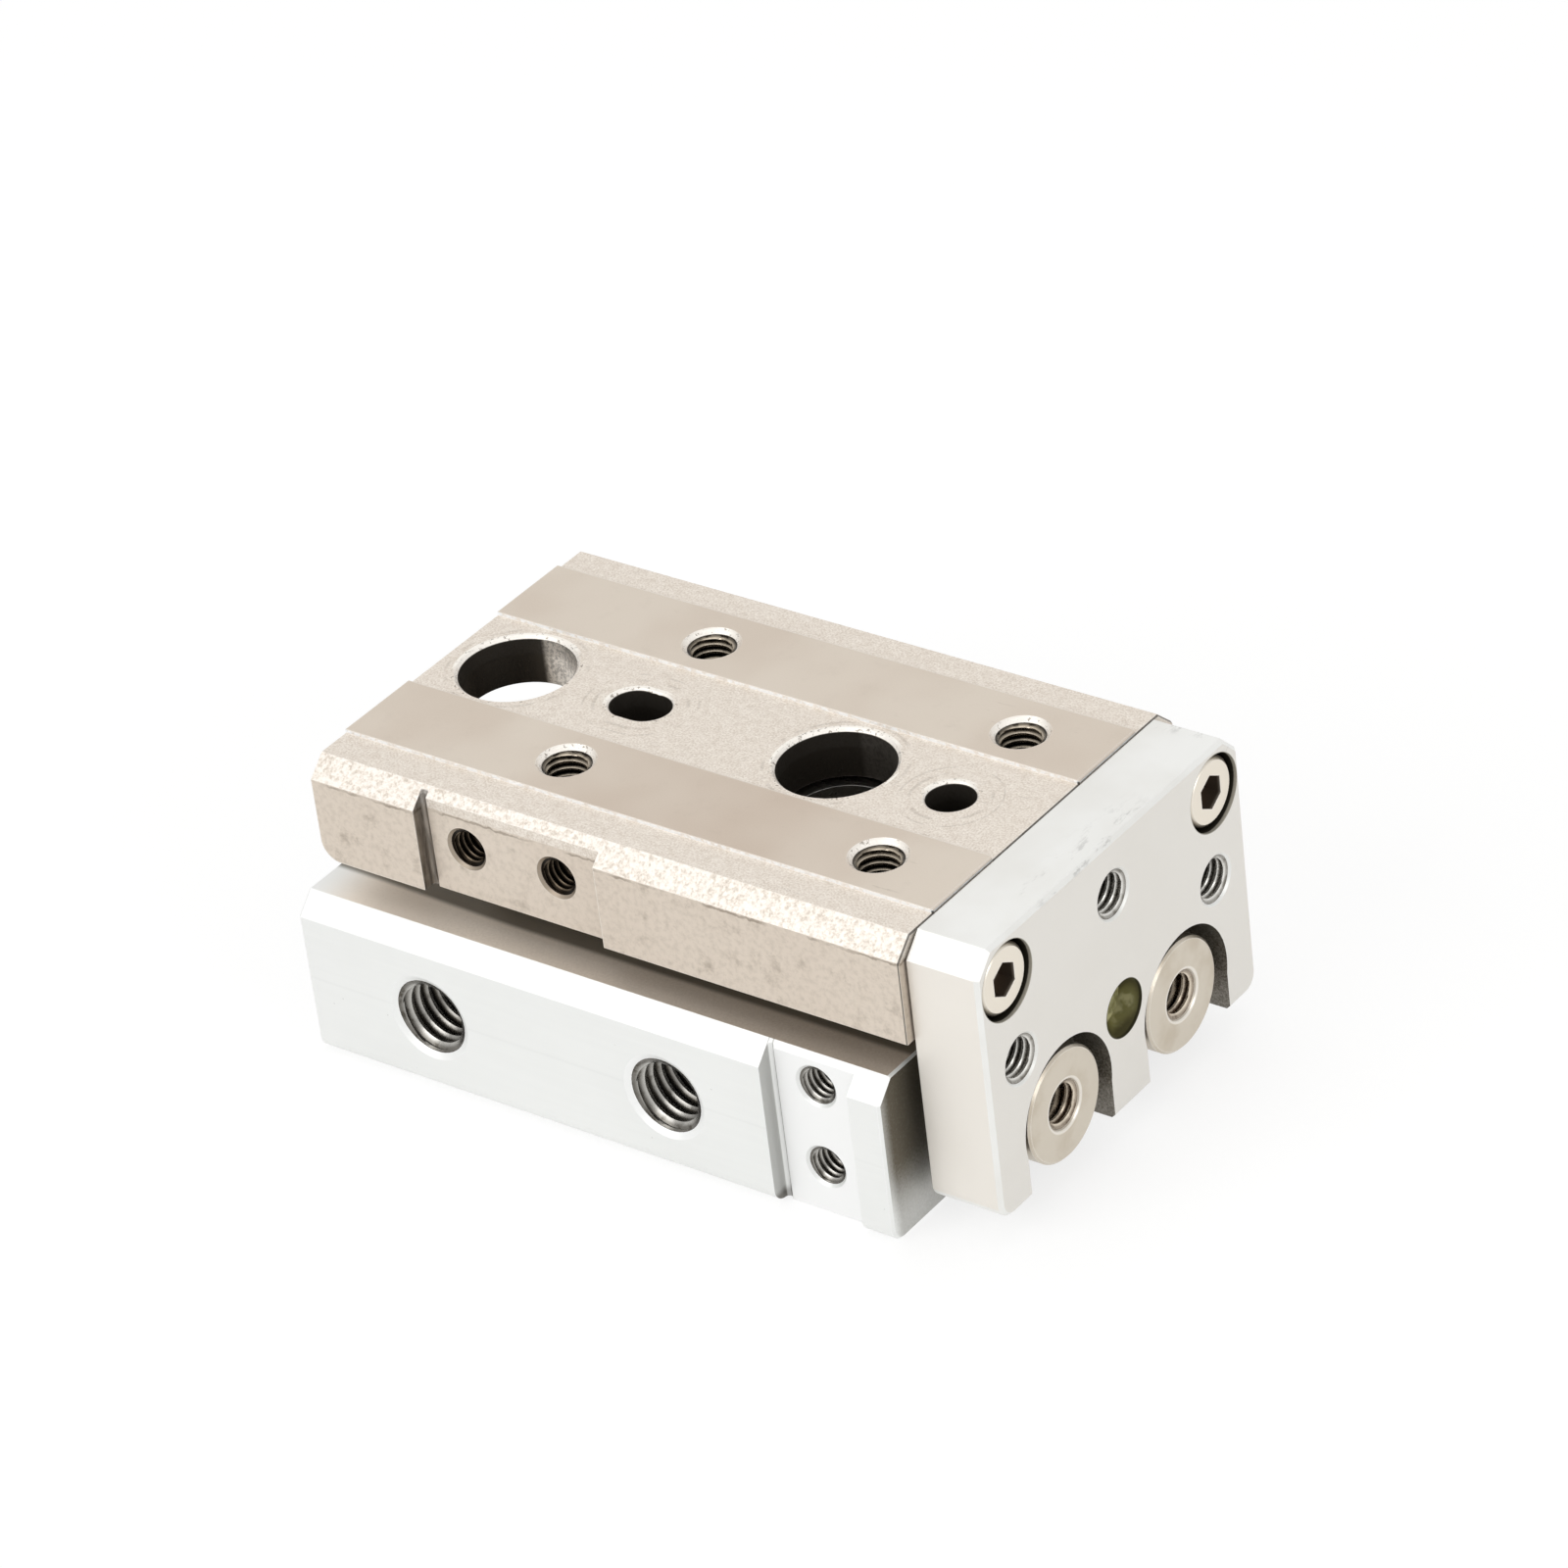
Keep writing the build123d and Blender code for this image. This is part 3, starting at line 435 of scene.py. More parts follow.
def thread_tree():
    """Geometry nodes that turn an inside thread in each hole, whose mouths are the points."""
    rows_per_turn = 8
    crest_share = 0.25
    trim_slope = 2
    backing_gap = 0.05 * mm
    weld = 0.0008 * mm
    crease = math.radians(25)
    tree = bpy.data.node_groups.new("thread_in_a_hole", "GeometryNodeTree")
    face = tree.interface
    face.new_socket(name="Mouths", in_out="INPUT", socket_type="NodeSocketGeometry")
    for name in ("Pitch", "Root radius", "Crest radius", "Start", "Depth"):
        face.new_socket(name=name, in_out="INPUT", socket_type="NodeSocketFloat")
    face.new_socket(name="Turn", in_out="INPUT", socket_type="NodeSocketVector")
    face.new_socket(name="Sides", in_out="INPUT", socket_type="NodeSocketInt")
    face.new_socket(name="Finish", in_out="INPUT", socket_type="NodeSocketMaterial")
    face.new_socket(name="Threads", in_out="OUTPUT", socket_type="NodeSocketGeometry")
    given = Wire(tree).node("NodeGroupInput")
    pitch, root, crest = given.out("Pitch"), given.out("Root radius"), given.out("Crest radius")
    begin, end = given.out("Start"), given.out("Depth")
    # Rows follow the helix. They are held at both ends of the hole, where they fall together.
    turns = given.maths("CEIL", (end - begin) / pitch) + 1
    last = turns * rows_per_turn
    size = {"Size X": 1.0, "Size Y": 1.0}
    counts = {"Vertices X": given.out("Sides") + 1, "Vertices Y": last + 4}
    grid = given.node("GeometryNodeMeshGrid", {}, size | counts)
    place = given.node("ShaderNodeSeparateXYZ", {}, {0: given.node("GeometryNodeInputPosition")})
    around = place.out("X") + 0.5
    row = given.maths("ROUND", (place.out("Y") + 0.5) * (last + 3))
    held = ((row / rows_per_turn - around) * pitch + begin).most(begin).least(end)
    phase = (held - begin) / pitch + around
    slope = abs(given.maths("FRACT", phase) * 2 - 1)
    flank = ((slope - crest_share) / (1 - crest_share)).clamped()
    # The countersink goes on down and trims the first turn.
    cut = (crest + (root - crest) * flank).most(root - (held - begin) * trim_slope)
    # Three more rows close the piece behind the wall of the hole: deep down, at the mouth, and
    # back on the first row.
    behind, at_mouth, joined = row.above(last + 0.5), row.above(last + 1.5), row.above(last + 2.5)
    backing = root + backing_gap
    radius = cut + (backing - cut) * behind * (1 - joined) + (root - cut) * joined
    sunk = held + (end - held) * behind + (begin - end) * at_mouth
    angle = around * math.tau
    across, up = given.maths("COSINE", angle), given.maths("SINE", angle)
    turned = {0: radius * across, 1: radius * up, 2: -sunk}
    point = given.node("ShaderNodeCombineXYZ", {}, turned)
    noted = grid
    shares = {
        "root": (cut - crest) / (root - crest),
        "deep": (held - begin) / (end - begin),
    }
    for label, share in shares.items():
        noted = given.node(
            "GeometryNodeStoreNamedAttribute",
            {"data_type": "FLOAT", "domain": "POINT"},
            {"Geometry": noted, "Name": label, "Value": share},
        )
    shaped = given.node("GeometryNodeSetPosition", {}, {"Geometry": noted, "Position": point})
    merged = given.node("GeometryNodeMergeByDistance", {}, {"Geometry": shaped, "Distance": weld})
    smooth = {"Geometry": merged, "Shade Smooth": True}
    rounded = given.node("GeometryNodeSetShadeSmooth", {}, smooth)
    sharp = given.node("GeometryNodeInputMeshEdgeAngle").above(crease)
    creased = given.node(
        "GeometryNodeSetShadeSmooth",
        {"domain": "EDGE"},
        {"Geometry": rounded, "Selection": sharp, "Shade Smooth": False},
    )
    spread = {"Points": given.out("Mouths"), "Instance": creased, "Rotation": given.out("Turn")}
    placed = given.node("GeometryNodeInstanceOnPoints", {}, spread)
    real = given.node("GeometryNodeRealizeInstances", {}, {"Geometry": placed})
    paint = {"Geometry": real, "Material": given.out("Finish")}
    painted = given.node("GeometryNodeSetMaterial", {}, paint)
    given.node("NodeGroupOutput", {}, {"Threads": painted})
    return tree


thread_nodes = thread_tree()


def plain_mesh(name, points, tree, inputs, body):
    """Runs a tree on a cloud of points, keeps the result as a plain mesh and lets it ride."""
    cloud = bpy.data.meshes.new(name + "_points")
    cloud.from_pydata([Vector(p) * mm for p in points], [], [])
    maker = bpy.data.objects.new(name + "_maker", cloud)
    bpy.context.scene.collection.objects.link(maker)
    modifier = maker.modifiers.new("tree", "NODES")
    modifier.node_group = tree
    identifiers = {s.name: s.identifier for s in tree.interface.items_tree if s.in_out == "INPUT"}
    for input_name, value in inputs.items():
        modifier[identifiers[input_name]] = value
    evaluated = maker.evaluated_get(bpy.context.evaluated_depsgraph_get())
    mesh = bpy.data.meshes.new_from_object(evaluated)
    mesh.name = name
    maker.modifiers.remove(modifier)
    bpy.data.objects.remove(maker)
    piece = bpy.data.objects.new(name, mesh)
    bpy.context.scene.collection.objects.link(piece)
    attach(piece, body)


facing_up = (0.0, 0.0, 0.0)
facing_ports = (math.pi / 2, 0.0, 0.0)
facing_front = (0.0, math.pi / 2, 0.0)
facing_down = (math.pi, 0.0, 0.0)


def tap(name, mouths, turned, metric, span, material, body, slot_name, sides=40):
    """Threads of one metric size and pitch in a row of holes, over a span of their depth."""
    size, pitch = metric
    start, depth = span
    # An inside metric thread is 0.5413 of its pitch high. Its roots keep clear of the CAD's hole.
    crest_height = 0.5413 * pitch
    root_clearance = 0.02
    inputs = {
        "Pitch": pitch * mm,
        "Root radius": (size / 2 - root_clearance) * mm,
        "Crest radius": (size / 2 - crest_height) * mm,
        "Start": start * mm,
        "Depth": depth * mm,
        "Turn": turned,
        "Sides": sides,
        "Finish": material,
    }
    plain_mesh(name, mouths, thread_nodes, inputs, body)


m2_5, m3, m4, m5 = (2.5, 0.45), (3.0, 0.5), (4.0, 0.7), (5.0, 0.8)
body_slot = ("body", "anodised_body")
port_mouths = [(x, port_side, z) for x, z in port_axes]
tap("port_threads", port_mouths, facing_ports, m5, (0.23, 5.1), cut_metal, *body_slot, sides=56)
flat_mouths = [(x, body_flat_side, z) for x, z in body_flat_axes]
tap("body_flat_threads", flat_mouths, facing_ports, m2_5, (0.18, 3.4), cut_metal, *body_slot)
base_mouths = [(x, y, 0.0) for x, y in base_axes]
tap("base_threads", base_mouths, facing_down, m4, (0.0, 4.4), cut_metal, *body_slot)

# Inside the two cylinders: turned aluminium caps and rod bushes, held by open spring rings of
# blackened steel, with rubber rings and seals. Only the rear caps and rings show.
both_sides = ("left", "right")
turned_shades = (colour_of(172, 172, 170), colour_of(206, 206, 203))
spring_shades = (colour_of(38, 37, 36), colour_of(66, 63, 60))
rubber_shades = (colour_of(28, 28, 28), colour_of(44, 43, 42))


def mottled(
    shades, blotch, metal, rough,
    dark_to=0.3, detail=3.0, grain=0.1, patchy=0.2, depth=0.004, edge=0.06,
):
    """The finish of a plain piece: blotches of two shades and a fine grain, with sizes in mm."""

    def sockets(start):
        spot = where(start)[0]
        fine = clouds(spot, grain, detail=3.0)
        dark, light = shades
        return {
            "Base Color": clouds(spot, blotch, detail).shades((dark_to, dark), (0.7, light)),
            "Metallic": metal,
            "Roughness": (fine - 0.5) * patchy + rough,
            "Normal": relief(start, fine, depth, edge),
        }

    return sockets


turned_metal = mottled(turned_shades, blotch=1.4, metal=0.9, rough=0.38)
black_steel = mottled(spring_shades, blotch=0.6, metal=0.8, rough=0.42, dark_to=0.35, grain=0.12)
black_rubber = mottled(
    rubber_shades, blotch=0.5, metal=0.0, rough=0.6,
    detail=2.0, grain=0.08, patchy=0.16, depth=0.01, edge=0.15,
)
cap_finish = finish("cap_aluminium", turned_metal)
ring_finish = finish("spring_steel", black_steel)
rubber_finish = finish("black_rubber", black_rubber)
for side in both_sides:
    dress(cap_finish, f"head_cap_{side}", f"rod_cover_{side}", f"piston_{side}")
    dress(ring_finish, f"head_cap_ring_{side}", f"rod_cover_ring_{side}")
    dress(rubber_finish, f"rod_cover_oring_{side}", f"rod_seal_{side}", f"piston_seal_{side}")

# The crossed roller guide between body and table: a block of hardened steel with ground V
# grooves, small rollers leaning alternately two ways, and thin pressed cages that space them.
ground_dark, ground_light = colour_of(150, 148, 145), colour_of(182, 180, 176)
polished_shades = (colour_of(178, 176, 172), colour_of(204, 202, 198))


def hard_steel(start):
    spot = where(start)[0]
    fine = clouds(spot, 0.1, detail=3.0)
    ground = clouds(spot, 0.25, stretch=(0.04, 1.0, 1.0))
    blotches = clouds(spot, 2.0, detail=3.0)
    return {
        "Base Color": blotches.shades((0.3, ground_dark), (0.7, ground_light)),
        "Metallic": 1.0,
        "Roughness": (ground - 0.5) * 0.2 + 0.3,
        "Normal": relief(start, ground * 0.6 + fine * 0.4, 0.004),
    }


polished_steel = mottled(
    polished_shades, blotch=0.9, metal=1.0, rough=0.18,
    detail=2.0, grain=0.15, patchy=0.1, depth=0.002,
)
guide_finish = finish("guide_steel", hard_steel)
roller_finish = finish("roller_steel", polished_steel)
dress(guide_finish, "guide_block", "cage_stop_rear", "cage_stop_front", "cage_stop_pins")
for side in both_sides:
    dress(roller_finish, f"cross_rollers_{side}", f"roller_cage_{side}")

# The table: a channel of alloy steel, nickel plated. Its outer faces keep the sandy skin of the
# blank, while the two lands on top, the sides and the adjuster flat are ground or milled smooth.
# The plating is a warm pale gold grey with small stains.
table_top = 20.0
table_front = 22.25
table_flat_side = -13.28
table_flat_groove = -12.25
table_flat_axes = ((-9.4, 16.37), (-2.75, 16.37))
chamfer_foot = 18.55
land_inner_edge = 4.35
access_axes = ((-15.4, 0.0), (8.2, 0.0))
access_radius, access_rim_radius = 3.6, 3.8
dowel_axes = ((-6.6, 0.0), (-6.1, 0.0), (-5.6, 0.0), (16.3, 0.0))
dowel_radius, dowel_rim_radius = 1.5, 1.64
land_thread_axes = ((-6.1, -7.2), (-6.1, 7.2), (16.3, -7.2), (16.3, 7.2))
thread_radius, thread_rim_radius = 1.5, 1.82
land_colour = colour_of(219, 208, 194)
land_shade = colour_of(201, 185, 169)
skin_colour = colour_of(228, 219, 208)
skin_shade = colour_of(214, 203, 190)
skin_light = colour_of(240, 233, 223)
side_colour = colour_of(219, 207, 193)
stain_colour = colour_of(120, 106, 90)
painted_hole_shade = colour_of(50, 45, 38)
sink_colour = colour_of(132, 118, 100)
bright_grit = colour_of(244, 240, 234)
nickel_wear_and_highlight = colour_of(252, 248, 241)
step_highlight = colour_of(244, 248, 252)


def past_axes(x, y, places, reach=4.3):
    """How far a point near a hole lies past its axis, going away from the ports' front corner."""
    away_x, away_y = -0.64, 0.77
    behind = [
        ((x - a) * away_x + (y - b) * away_y)
        * from_axes(x, y, ((a, b),)).rise(reach, reach - 0.1)
        for a, b in places
    ]
    farthest = behind[0]
    for push in behind[1:]:
        farthest = farthest.most(push)
    return farthest


def plated(start):
    """Plating with smooth lands, side and flat, a sandy skin elsewhere, and painted shade in its
    holes.
    """
    spot, x, y, z = where(start)
    face_x, face_y, face_z = facing(start)
    fine = clouds(spot, 0.1, detail=3.0)
    broad = clouds(spot, 9.0, detail=2.0)
    sand = clouds(spot, 0.13, detail=2.0, roughness=0.6) * 0.75 + clouds(spot, 0.6) * 0.25
    stains = clouds(spot, 1.3, detail=4.0, roughness=0.65).rise(0.53, 0.8)
    mottling = clouds(spot, 0.4, detail=3.0, roughness=0.6).rise(0.4, 0.7)
    on_land = z.rise(table_top - 0.15, table_top - 0.05)
    on_side = abs(y).rise(13.2, 13.3) * z.rise(chamfer_foot + 0.05, chamfer_foot - 0.05)
    sandy = (1 - on_land) * (1 - on_side) * z.rise(chamfer_foot - 0.15, chamfer_foot + 0.05)
    # A painted reflection darkens the middle stretch of the near land.
    land_reflection = y.rise(-4.2, -4.6) * x.rise(-9.0, 2.0) * x.rise(21.0, 9.0)
    patches_and_reflection = broad.rise(0.35, 0.7) * 0.45 + land_reflection * 0.45 + (fine - 0.5) * 0.25
    tone = plain(start, land_colour).tint(land_shade, patches_and_reflection.most(0))
    skin = sand.shades((0.39, skin_shade), (0.51, skin_colour), (0.65, skin_light))
    tone = tone.tint(skin, sandy)
    tone = tone.tint(side_colour, on_side * 0.8)
    # The chamfer is gritty, with bright grains and a few dark ones, and the side is stained.
    chamfer = sandy * face_z.between(0.3, 0.9)
    grit = clouds(spot, 0.3, detail=2.0, roughness=0.6)
    tone = tone.tint(bright_grit, chamfer * grit.rise(0.4, 0.64) * 0.7)
    tone = tone.tint(stain_colour, chamfer * grit.rise(0.46, 0.3) * 0.2)
    tone = tone.tint(stain_colour, mottling * on_side * 0.16)
    tone = tone.tint(stain_colour, stains * (on_side * 0.4 + 0.06))
    # A ragged dark line runs under the chamfer. Tools have left faint rings round the holes and
    # scratches along the front half of the top.
    ragged = z + (clouds(spot, 0.5, detail=3.0) - 0.5) * 0.5
    line = ragged.between(chamfer_foot - 0.19, chamfer_foot - 0.09, soft=0.06) * on_side
    line = line * clouds(spot, 2.5, detail=2.0).rise(0.4, 0.6)
    access = from_axes(x, y, access_axes)
    dowel = from_axes(x, y, dowel_axes)
    thread = from_axes(x, y, land_thread_axes)
    ring = dowel.between(2.4, 2.5, soft=0.12).most(dowel.between(3.1, 3.14, soft=0.08))
    ring = ring.most(access.between(4.3, 4.4, soft=0.1)) * (1 - on_land)
    ring = ring * clouds(spot, 1.6).rise(0.46, 0.6)
    scratch = clouds(spot, 0.5, detail=3.0, roughness=0.7, stretch=(0.12, 1.0, 1.0))
    scratch = scratch.rise(0.66, 0.7) * z.rise(19.7, 19.74) * x.rise(8.0, 16.0)
    marks = (line * 0.6).most(ring * 0.2).most(scratch * 0.2)
    tone = tone.tint(stain_colour, marks)
    tone = tone.tint(nickel_wear_and_highlight, worn_edge(start, 0.14) * 0.6)
    # The step up to each land and the countersinks get painted highlights, each hole's far lip most
    # of all, and the countersinks most where they face the light.
    upright = 1 - abs(face_z).rise(0.2, 0.5)
    step = upright * z.between(19.78, 19.97, soft=0.02)
    step = step * abs(y).rise(land_inner_edge - 0.15, land_inner_edge - 0.05)
    sink = access.between(access_radius + 0.02, access_rim_radius - 0.01, soft=0.02)
    sink = sink.most(dowel.between(dowel_radius + 0.03, dowel_rim_radius - 0.01, soft=0.02))
    sink = sink.most(thread.between(thread_radius + 0.04, thread_rim_radius - 0.01, soft=0.02))
    sink = sink * z.rise(16.6, 16.8)
    lit = (face_x * 0.65 - face_y * 0.76).rise(-0.1, 0.45)
    lip = dowel.between(dowel_rim_radius, dowel_rim_radius + 0.22, soft=0.06)
    lip = lip.most(access.between(access_rim_radius, access_rim_radius + 0.18, soft=0.06))
    lip = lip * (1 - on_land)
    far = z.rise(19.0, 19.5) * past_axes(x, y, access_axes + dowel_axes).rise(0.5, 1.4)
    tone = tone.tint(nickel_wear_and_highlight, (sink * (lit * 0.65 + 0.1)).most(lip * far * 0.8))
    broken = clouds(spot, 0.4, detail=3.0).rise(0.38, 0.56)
    tone = tone.tint(step_highlight, step * (broken * 0.5 + 0.4))
    flecks = clouds(spot, 0.3, detail=3.0, roughness=0.7).rise(0.56, 0.66)
    tone = tone.tint(stain_colour, sink.most(lip) * flecks * 0.7)
    # The countersinks of the adjuster flat's holes are painted darker, as painted shade.
    flat_sink = from_axes(x, z, table_flat_axes).between(1.2, 1.42, soft=0.02)
    flat_sink = flat_sink * y.rise(-12.0, -12.9)
    tone = tone.tint(sink_colour, flat_sink * 0.7)
    # The holes and the groove of the adjuster flat are painted dark as shade, with streaks in the
    # groove, and the seam at the plate is dark too.
    hole = access.rise(access_radius + 0.03, access_radius + 0.01)
    hole = hole.most(dowel.rise(dowel_radius + 0.04, dowel_radius + 0.02))
    hole = hole.most(thread.rise(thread_radius + 0.03, thread_radius + 0.01))
    streaks = clouds(spot, 0.2, detail=3.0, stretch=(1.0, 1.0, 0.12))
    groove = x.near(table_flat_groove, groove_reach, soft=0.02) * y.rise(-12.9, -13.0)
    seam = x.between(table_front - 0.09, table_front - 0.015, soft=0.02) * (1 - on_land)
    dark = (hole * 0.95).most(groove * (streaks * 0.9 + 0.2)).most(seam * 0.8)
    tone = tone.tint(painted_hole_shade, dark)
    # The wall of an access hole that looks back at the ports gets a painted gleam in the colour of
    # its plating, the rear one's above all.
    gleam = (-(face_x * 0.42) - face_y * 0.91).rise(0.76, 0.84) * access.rise(4.2, 4.0) * hole
    speckle = clouds(spot, 0.22, detail=3.0, roughness=0.7).rise(0.62, 0.42)
    rear_most = x.rise(0.0, -8.0) * 0.88 + 0.12
    tone = tone.tint(skin_colour, gleam * (speckle * 0.5 + 0.45) * rear_most)
    return {
        "Base Color": tone,
        "Metallic": 0.7,
        "Roughness": (fine - 0.5) * 0.14 + 0.4 + sandy * 0.1 - hole * 0.1,
        "Normal": relief(start, sand * sandy + fine * 0.12, 0.024),
    }


plated_table = finish("plated_table", plated)
dress(plated_table, "table")

cut_nickel = tapped(colour_of(198, 186, 168), colour_of(32, 27, 21), extra_darkening=0.1)
shaded_nickel_thread = tapped(sink_colour, colour_of(28, 23, 18), extra_darkening=0.45)
cut_finish = finish("cut_nickel", cut_nickel)
shaded_nickel_finish = finish("shaded_nickel_thread", shaded_nickel_thread)
table_slot = ("table", "plated_table")
land_mouths = [(x, y, table_top) for x, y in land_thread_axes]
tap("table_threads", land_mouths, facing_up, m3, (0.32, 3.45), cut_finish, *table_slot)
flat_mouths = [(x, table_flat_side, z) for x, z in table_flat_axes]
flat_span = (0.18, 3.4)
tap("table_flat_threads", flat_mouths, facing_ports, m2_5, flat_span, shaded_nickel_finish, *table_slot)

# The end plate: aluminium, milled and finely blasted, then anodised. It is bolted to the front
# of the table and hooks over both rod ends. Its front is slightly warmer than its top; front
# and sides are also painted a little darker, as painted shade.
plate_rear = 22.25
plate_front = 27.15
plate_top = 19.8
plate_edge = 0.25
rod_height = 5.4
pocket_axes = ((-6.15, rod_height), (6.15, rod_height))
pocket_radius, pocket_half_width = 4.4, 4.3
bumper_axis = (0.0, 8.4)
bumper_hole_radius = 1.8
plate_screw_axes = ((-10.65, 16.9), (10.65, 16.9))
counterbore_radius = 2.45
plate_thread_axes = ((10.1, 11.2), (-10.1, 11.2), (0.0, 16.25))
plate_colour = colour_of(240, 240, 237)
plate_shade = colour_of(226, 224, 218)
plate_front_painted_shade = colour_of(226, 222, 215)
plate_side_painted_shade = colour_of(236, 230, 221)
plate_edge_colour = colour_of(250, 250, 248)
scuff_colour = colour_of(150, 148, 144)
pocket_shade_colour = colour_of(74, 67, 53)
olive = colour_of(158, 154, 110)
olive_glint = colour_of(232, 228, 190)
olive_shade = colour_of(93, 88, 62)
olive_dark = colour_of(52, 49, 36)
counterbore_wall_shade = colour_of(176, 172, 160)
counterbore_gap_shade = colour_of(48, 45, 36)


def blasted(start):
    """Even pale grey, with painted shade in the pockets and counterbores and the stud's colour
    painted into its hole.
    """
    spot, x, y, z = where(start)
    face_x, face_y, _ = facing(start)
    fine = clouds(spot, 0.1, detail=3.0)
    broad = clouds(spot, 6.0, detail=3.0)
    tone = plain(start, plate_colour).tint(plate_shade, broad.rise(0.35, 0.7) * 0.5)
    # The front and the sides are painted a little darker than the top, as painted shade.
    tone = tone.tint(plate_front_painted_shade, face_x.rise(0.9, 0.98) * 0.8)
    tone = tone.tint(plate_side_painted_shade, abs(face_y).rise(0.9, 0.98) * 0.8)
    # Handling has scuffed the front edge of the top and the far top corner.
    scuffs = clouds(spot, 0.7, detail=4.0, roughness=0.7, stretch=(1.0, 0.35, 1.0))
    near_top = z.rise(plate_top - 0.5, plate_top - 0.1) * x.rise(24.4, 26.9)
    near_top = near_top * abs(y + 1.5).rise(7.0, 3.5)
    near_top = near_top.most(z.rise(18.2, 18.8) * y.rise(11.0, 12.0))
    tone = tone.tint(scuff_colour, scuffs.rise(0.53, 0.68) * near_top * 0.5)
    tone = tone.tint(plate_edge_colour, worn_edge(start, 0.16) * 0.35)
    # The pockets are painted dark inside as shade, with a grainy murk, and so is the seam along the
    # plate's rear edges.
    inside = 1 - face_x.rise(0.5, 0.8)
    beside = abs(abs(y) - pocket_axes[1][0])
    pocket = from_axes(y, z, pocket_axes).rise(pocket_radius + 0.06, pocket_radius + 0.02)
    slot = beside.rise(pocket_half_width + 0.06, pocket_half_width + 0.03)
    pocket = pocket.most(slot * z.rise(rod_height + 0.2, rod_height))
    front_edge = plate_front - plate_edge
    grains = clouds(spot, 0.14, detail=3.0, roughness=0.7)
    murk = z.rise(0.0, 10.0) * 0.2 + (grains - 0.5) * 0.8 + 0.78
    deep = pocket * x.rise(front_edge, front_edge - 0.02).most(inside) * murk
    seam = x.between(plate_rear + 0.03, plate_rear + 0.09, soft=0.02)
    tone = tone.tint(pocket_shade_colour, deep.most(seam).least(1))
    # The stud's colour is painted on the wall of its hole, as it looks from the front, with painted
    # glints amid it, a painted shaded rim and painted shade at the hole's mouth.
    bumper_hole = from_axes(y, z, (bumper_axis,))
    bumper_hole = bumper_hole.rise(bumper_hole_radius + 0.06, bumper_hole_radius + 0.02)
    sight_y, sight_z = -1.18, 1.1
    down = plate_front - x
    seen_y, seen_z = y + down * sight_y, z + down * sight_z
    off_stud = from_axes(seen_y, seen_z, (bumper_axis,))
    glints = clouds(spot, 0.7, detail=2.0).rise(0.4, 0.66) * off_stud.rise(1.3, 0.8)
    stud_rim_shade = off_stud.rise(1.15, 1.7).most(seen_z.rise(8.0, 7.2))
    tone = tone.tint(olive, bumper_hole)
    tone = tone.tint(olive_glint, bumper_hole * glints * 0.75)
    tone = tone.tint(olive_shade, bumper_hole * stud_rim_shade * 0.85)
    tone = tone.tint(olive_dark, bumper_hole * x.rise(26.92, 27.02) * 0.8)
    # The counterbores are painted with shade: pale at the mouth and dark round the screw heads.
    counterbore = from_axes(y, z, plate_screw_axes)
    counterbore = counterbore.rise(counterbore_radius + 0.05, counterbore_radius + 0.02)
    tone = tone.tint(counterbore_wall_shade, counterbore * 0.9)
    tone = tone.tint(counterbore_gap_shade, counterbore * x.rise(26.97, 26.9))
    return {
        "Base Color": tone,
        "Metallic": 0.5,
        "Roughness": (fine - 0.5) * 0.12 + 0.45,
        "Normal": relief(start, fine, 0.008),
    }


plate_finish = finish("plate_aluminium", blasted)
dress(plate_finish, "end_plate")
bright_thread = tapped(colour_of(232, 230, 225), colour_of(116, 112, 104), extra_darkening=0.0)
bright_finish = finish("bright_thread", bright_thread)
plate_slot = ("table", "plate_aluminium")
plate_mouths = [(plate_front, y, z) for y, z in plate_thread_axes]
tap("plate_threads", plate_mouths, facing_front, m3, (0.14, 4.8), bright_finish, *plate_slot)

# Two nickel plated socket screws hold the plate, their heads sunk level with its front. A stud
# of olive urethane is pressed into the plate's middle hole and cushions it against the body.
screw_colour = colour_of(232, 224, 210)
hex_socket_shade = colour_of(96, 80, 66)
urethane_dark, urethane_light = colour_of(128, 125, 82), colour_of(214, 210, 162)


def nickel_screw(start):
    spot, x = where(start)[:2]
    fine = clouds(spot, 0.1, detail=3.0)
    tone = plain(start, screw_colour).tint(nickel_wear_and_highlight, worn_edge(start, 0.12) * 0.8)
    # The hex socket is painted dark, as painted shade.
    sunk = x.rise(26.92, 26.7)
    return {
        "Base Color": tone.tint(hex_socket_shade, sunk * 0.9),
        "Metallic": 0.85,
        "Roughness": (fine - 0.5) * 0.16 + 0.32,
        "Normal": relief(start, fine, 0.004),
    }


def urethane(start):
    blotches = clouds(where(start)[0], 0.8)
    return {
        "Base Color": blotches.shades((0.42, urethane_dark), (0.62, urethane_light)),
        "Roughness": (blotches - 0.5) * 0.2 + 0.3,
        "Normal": relief(start, blotches, 0.08, edge=0.15),
    }


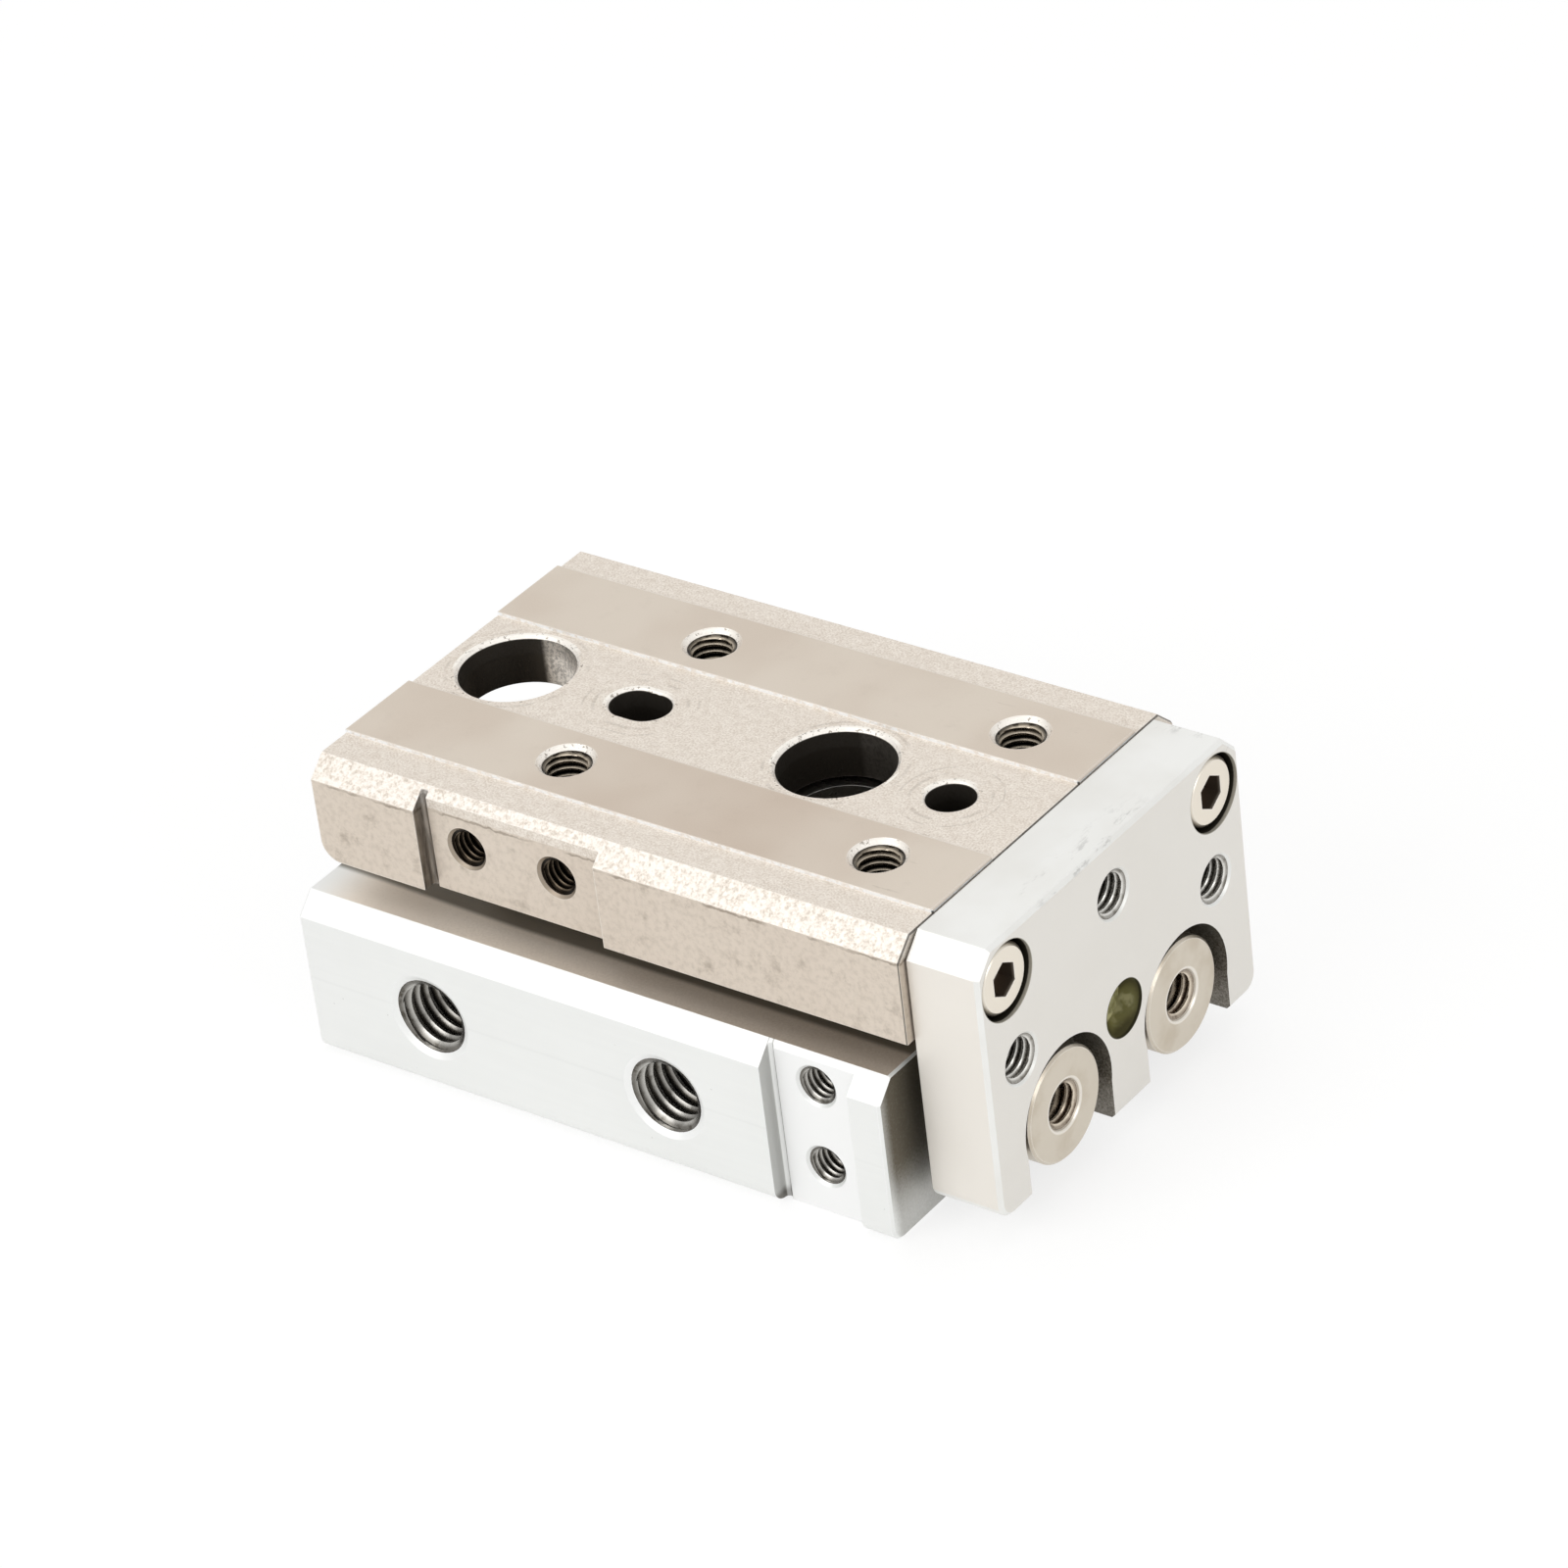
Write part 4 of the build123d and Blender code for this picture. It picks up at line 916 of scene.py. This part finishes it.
screw_finish = finish("screw_steel", nickel_screw)
dress(screw_finish, "end_plate_screws", "guide_block_screws")
urethane_finish = finish("urethane", urethane)
dress(urethane_finish, "end_bumper", "rod_bumper_left", "rod_bumper_right")

# The piston rods are ground and polished like the rollers. They end in turned discs, nickel
# plated, that hang in the plate's pockets and pull it along: each is a nut on the threaded end
# of its rod. The pistons at the other end carry magnets.
disc_front = 26.85
disc_colour = colour_of(210, 201, 186)
disc_shade = colour_of(190, 177, 157)
disc_dark_reflection = colour_of(120, 108, 92)
magnet_shades = (colour_of(44, 43, 42), colour_of(62, 60, 58))


def turned_disc(start):
    spot, _, y, z = where(start)
    fine = clouds(spot, 0.1, detail=3.0)
    tone = plain(start, disc_colour)
    tone = tone.tint(disc_shade, clouds(spot, 2.2, detail=3.0).rise(0.4, 0.7) * 0.6)
    # A painted highlight and a painted dark reflection run round the threaded hole.
    off_axis = from_axes(y, z, pocket_axes)
    tone = tone.tint(nickel_wear_and_highlight, off_axis.between(1.6, 1.72, soft=0.08) * 0.5)
    tone = tone.tint(disc_dark_reflection, off_axis.between(1.4, 1.56, soft=0.03) * 0.4)
    return {
        "Base Color": tone.tint(nickel_wear_and_highlight, worn_edge(start, 0.12) * 0.8),
        "Metallic": 0.8,
        "Roughness": (fine - 0.5) * 0.16 + 0.34,
        "Normal": relief(start, fine, 0.005),
    }


dress(roller_finish, "piston_rod_left", "piston_rod_right")
disc_finish = finish("plated_disc", turned_disc)
dress(disc_finish, "rod_end_disc_left", "rod_end_disc_right")
disc_thread = tapped(colour_of(222, 210, 192), colour_of(96, 80, 66), extra_darkening=-0.15)
disc_thread_finish = finish("disc_thread", disc_thread)
disc_slot = ("table", "plated_disc")
disc_mouths = [(disc_front, y, z) for y, z in reversed(pocket_axes)]
tap("disc_threads", disc_mouths, facing_front, m3, (0.15, 1.08), disc_thread_finish, *disc_slot)
magnet_black = mottled(magnet_shades, blotch=0.4, metal=0.0, rough=0.55, detail=2.0, depth=0.01)
magnet_finish = finish("magnet", magnet_black)
dress(magnet_finish, "piston_magnet_left", "piston_magnet_right")
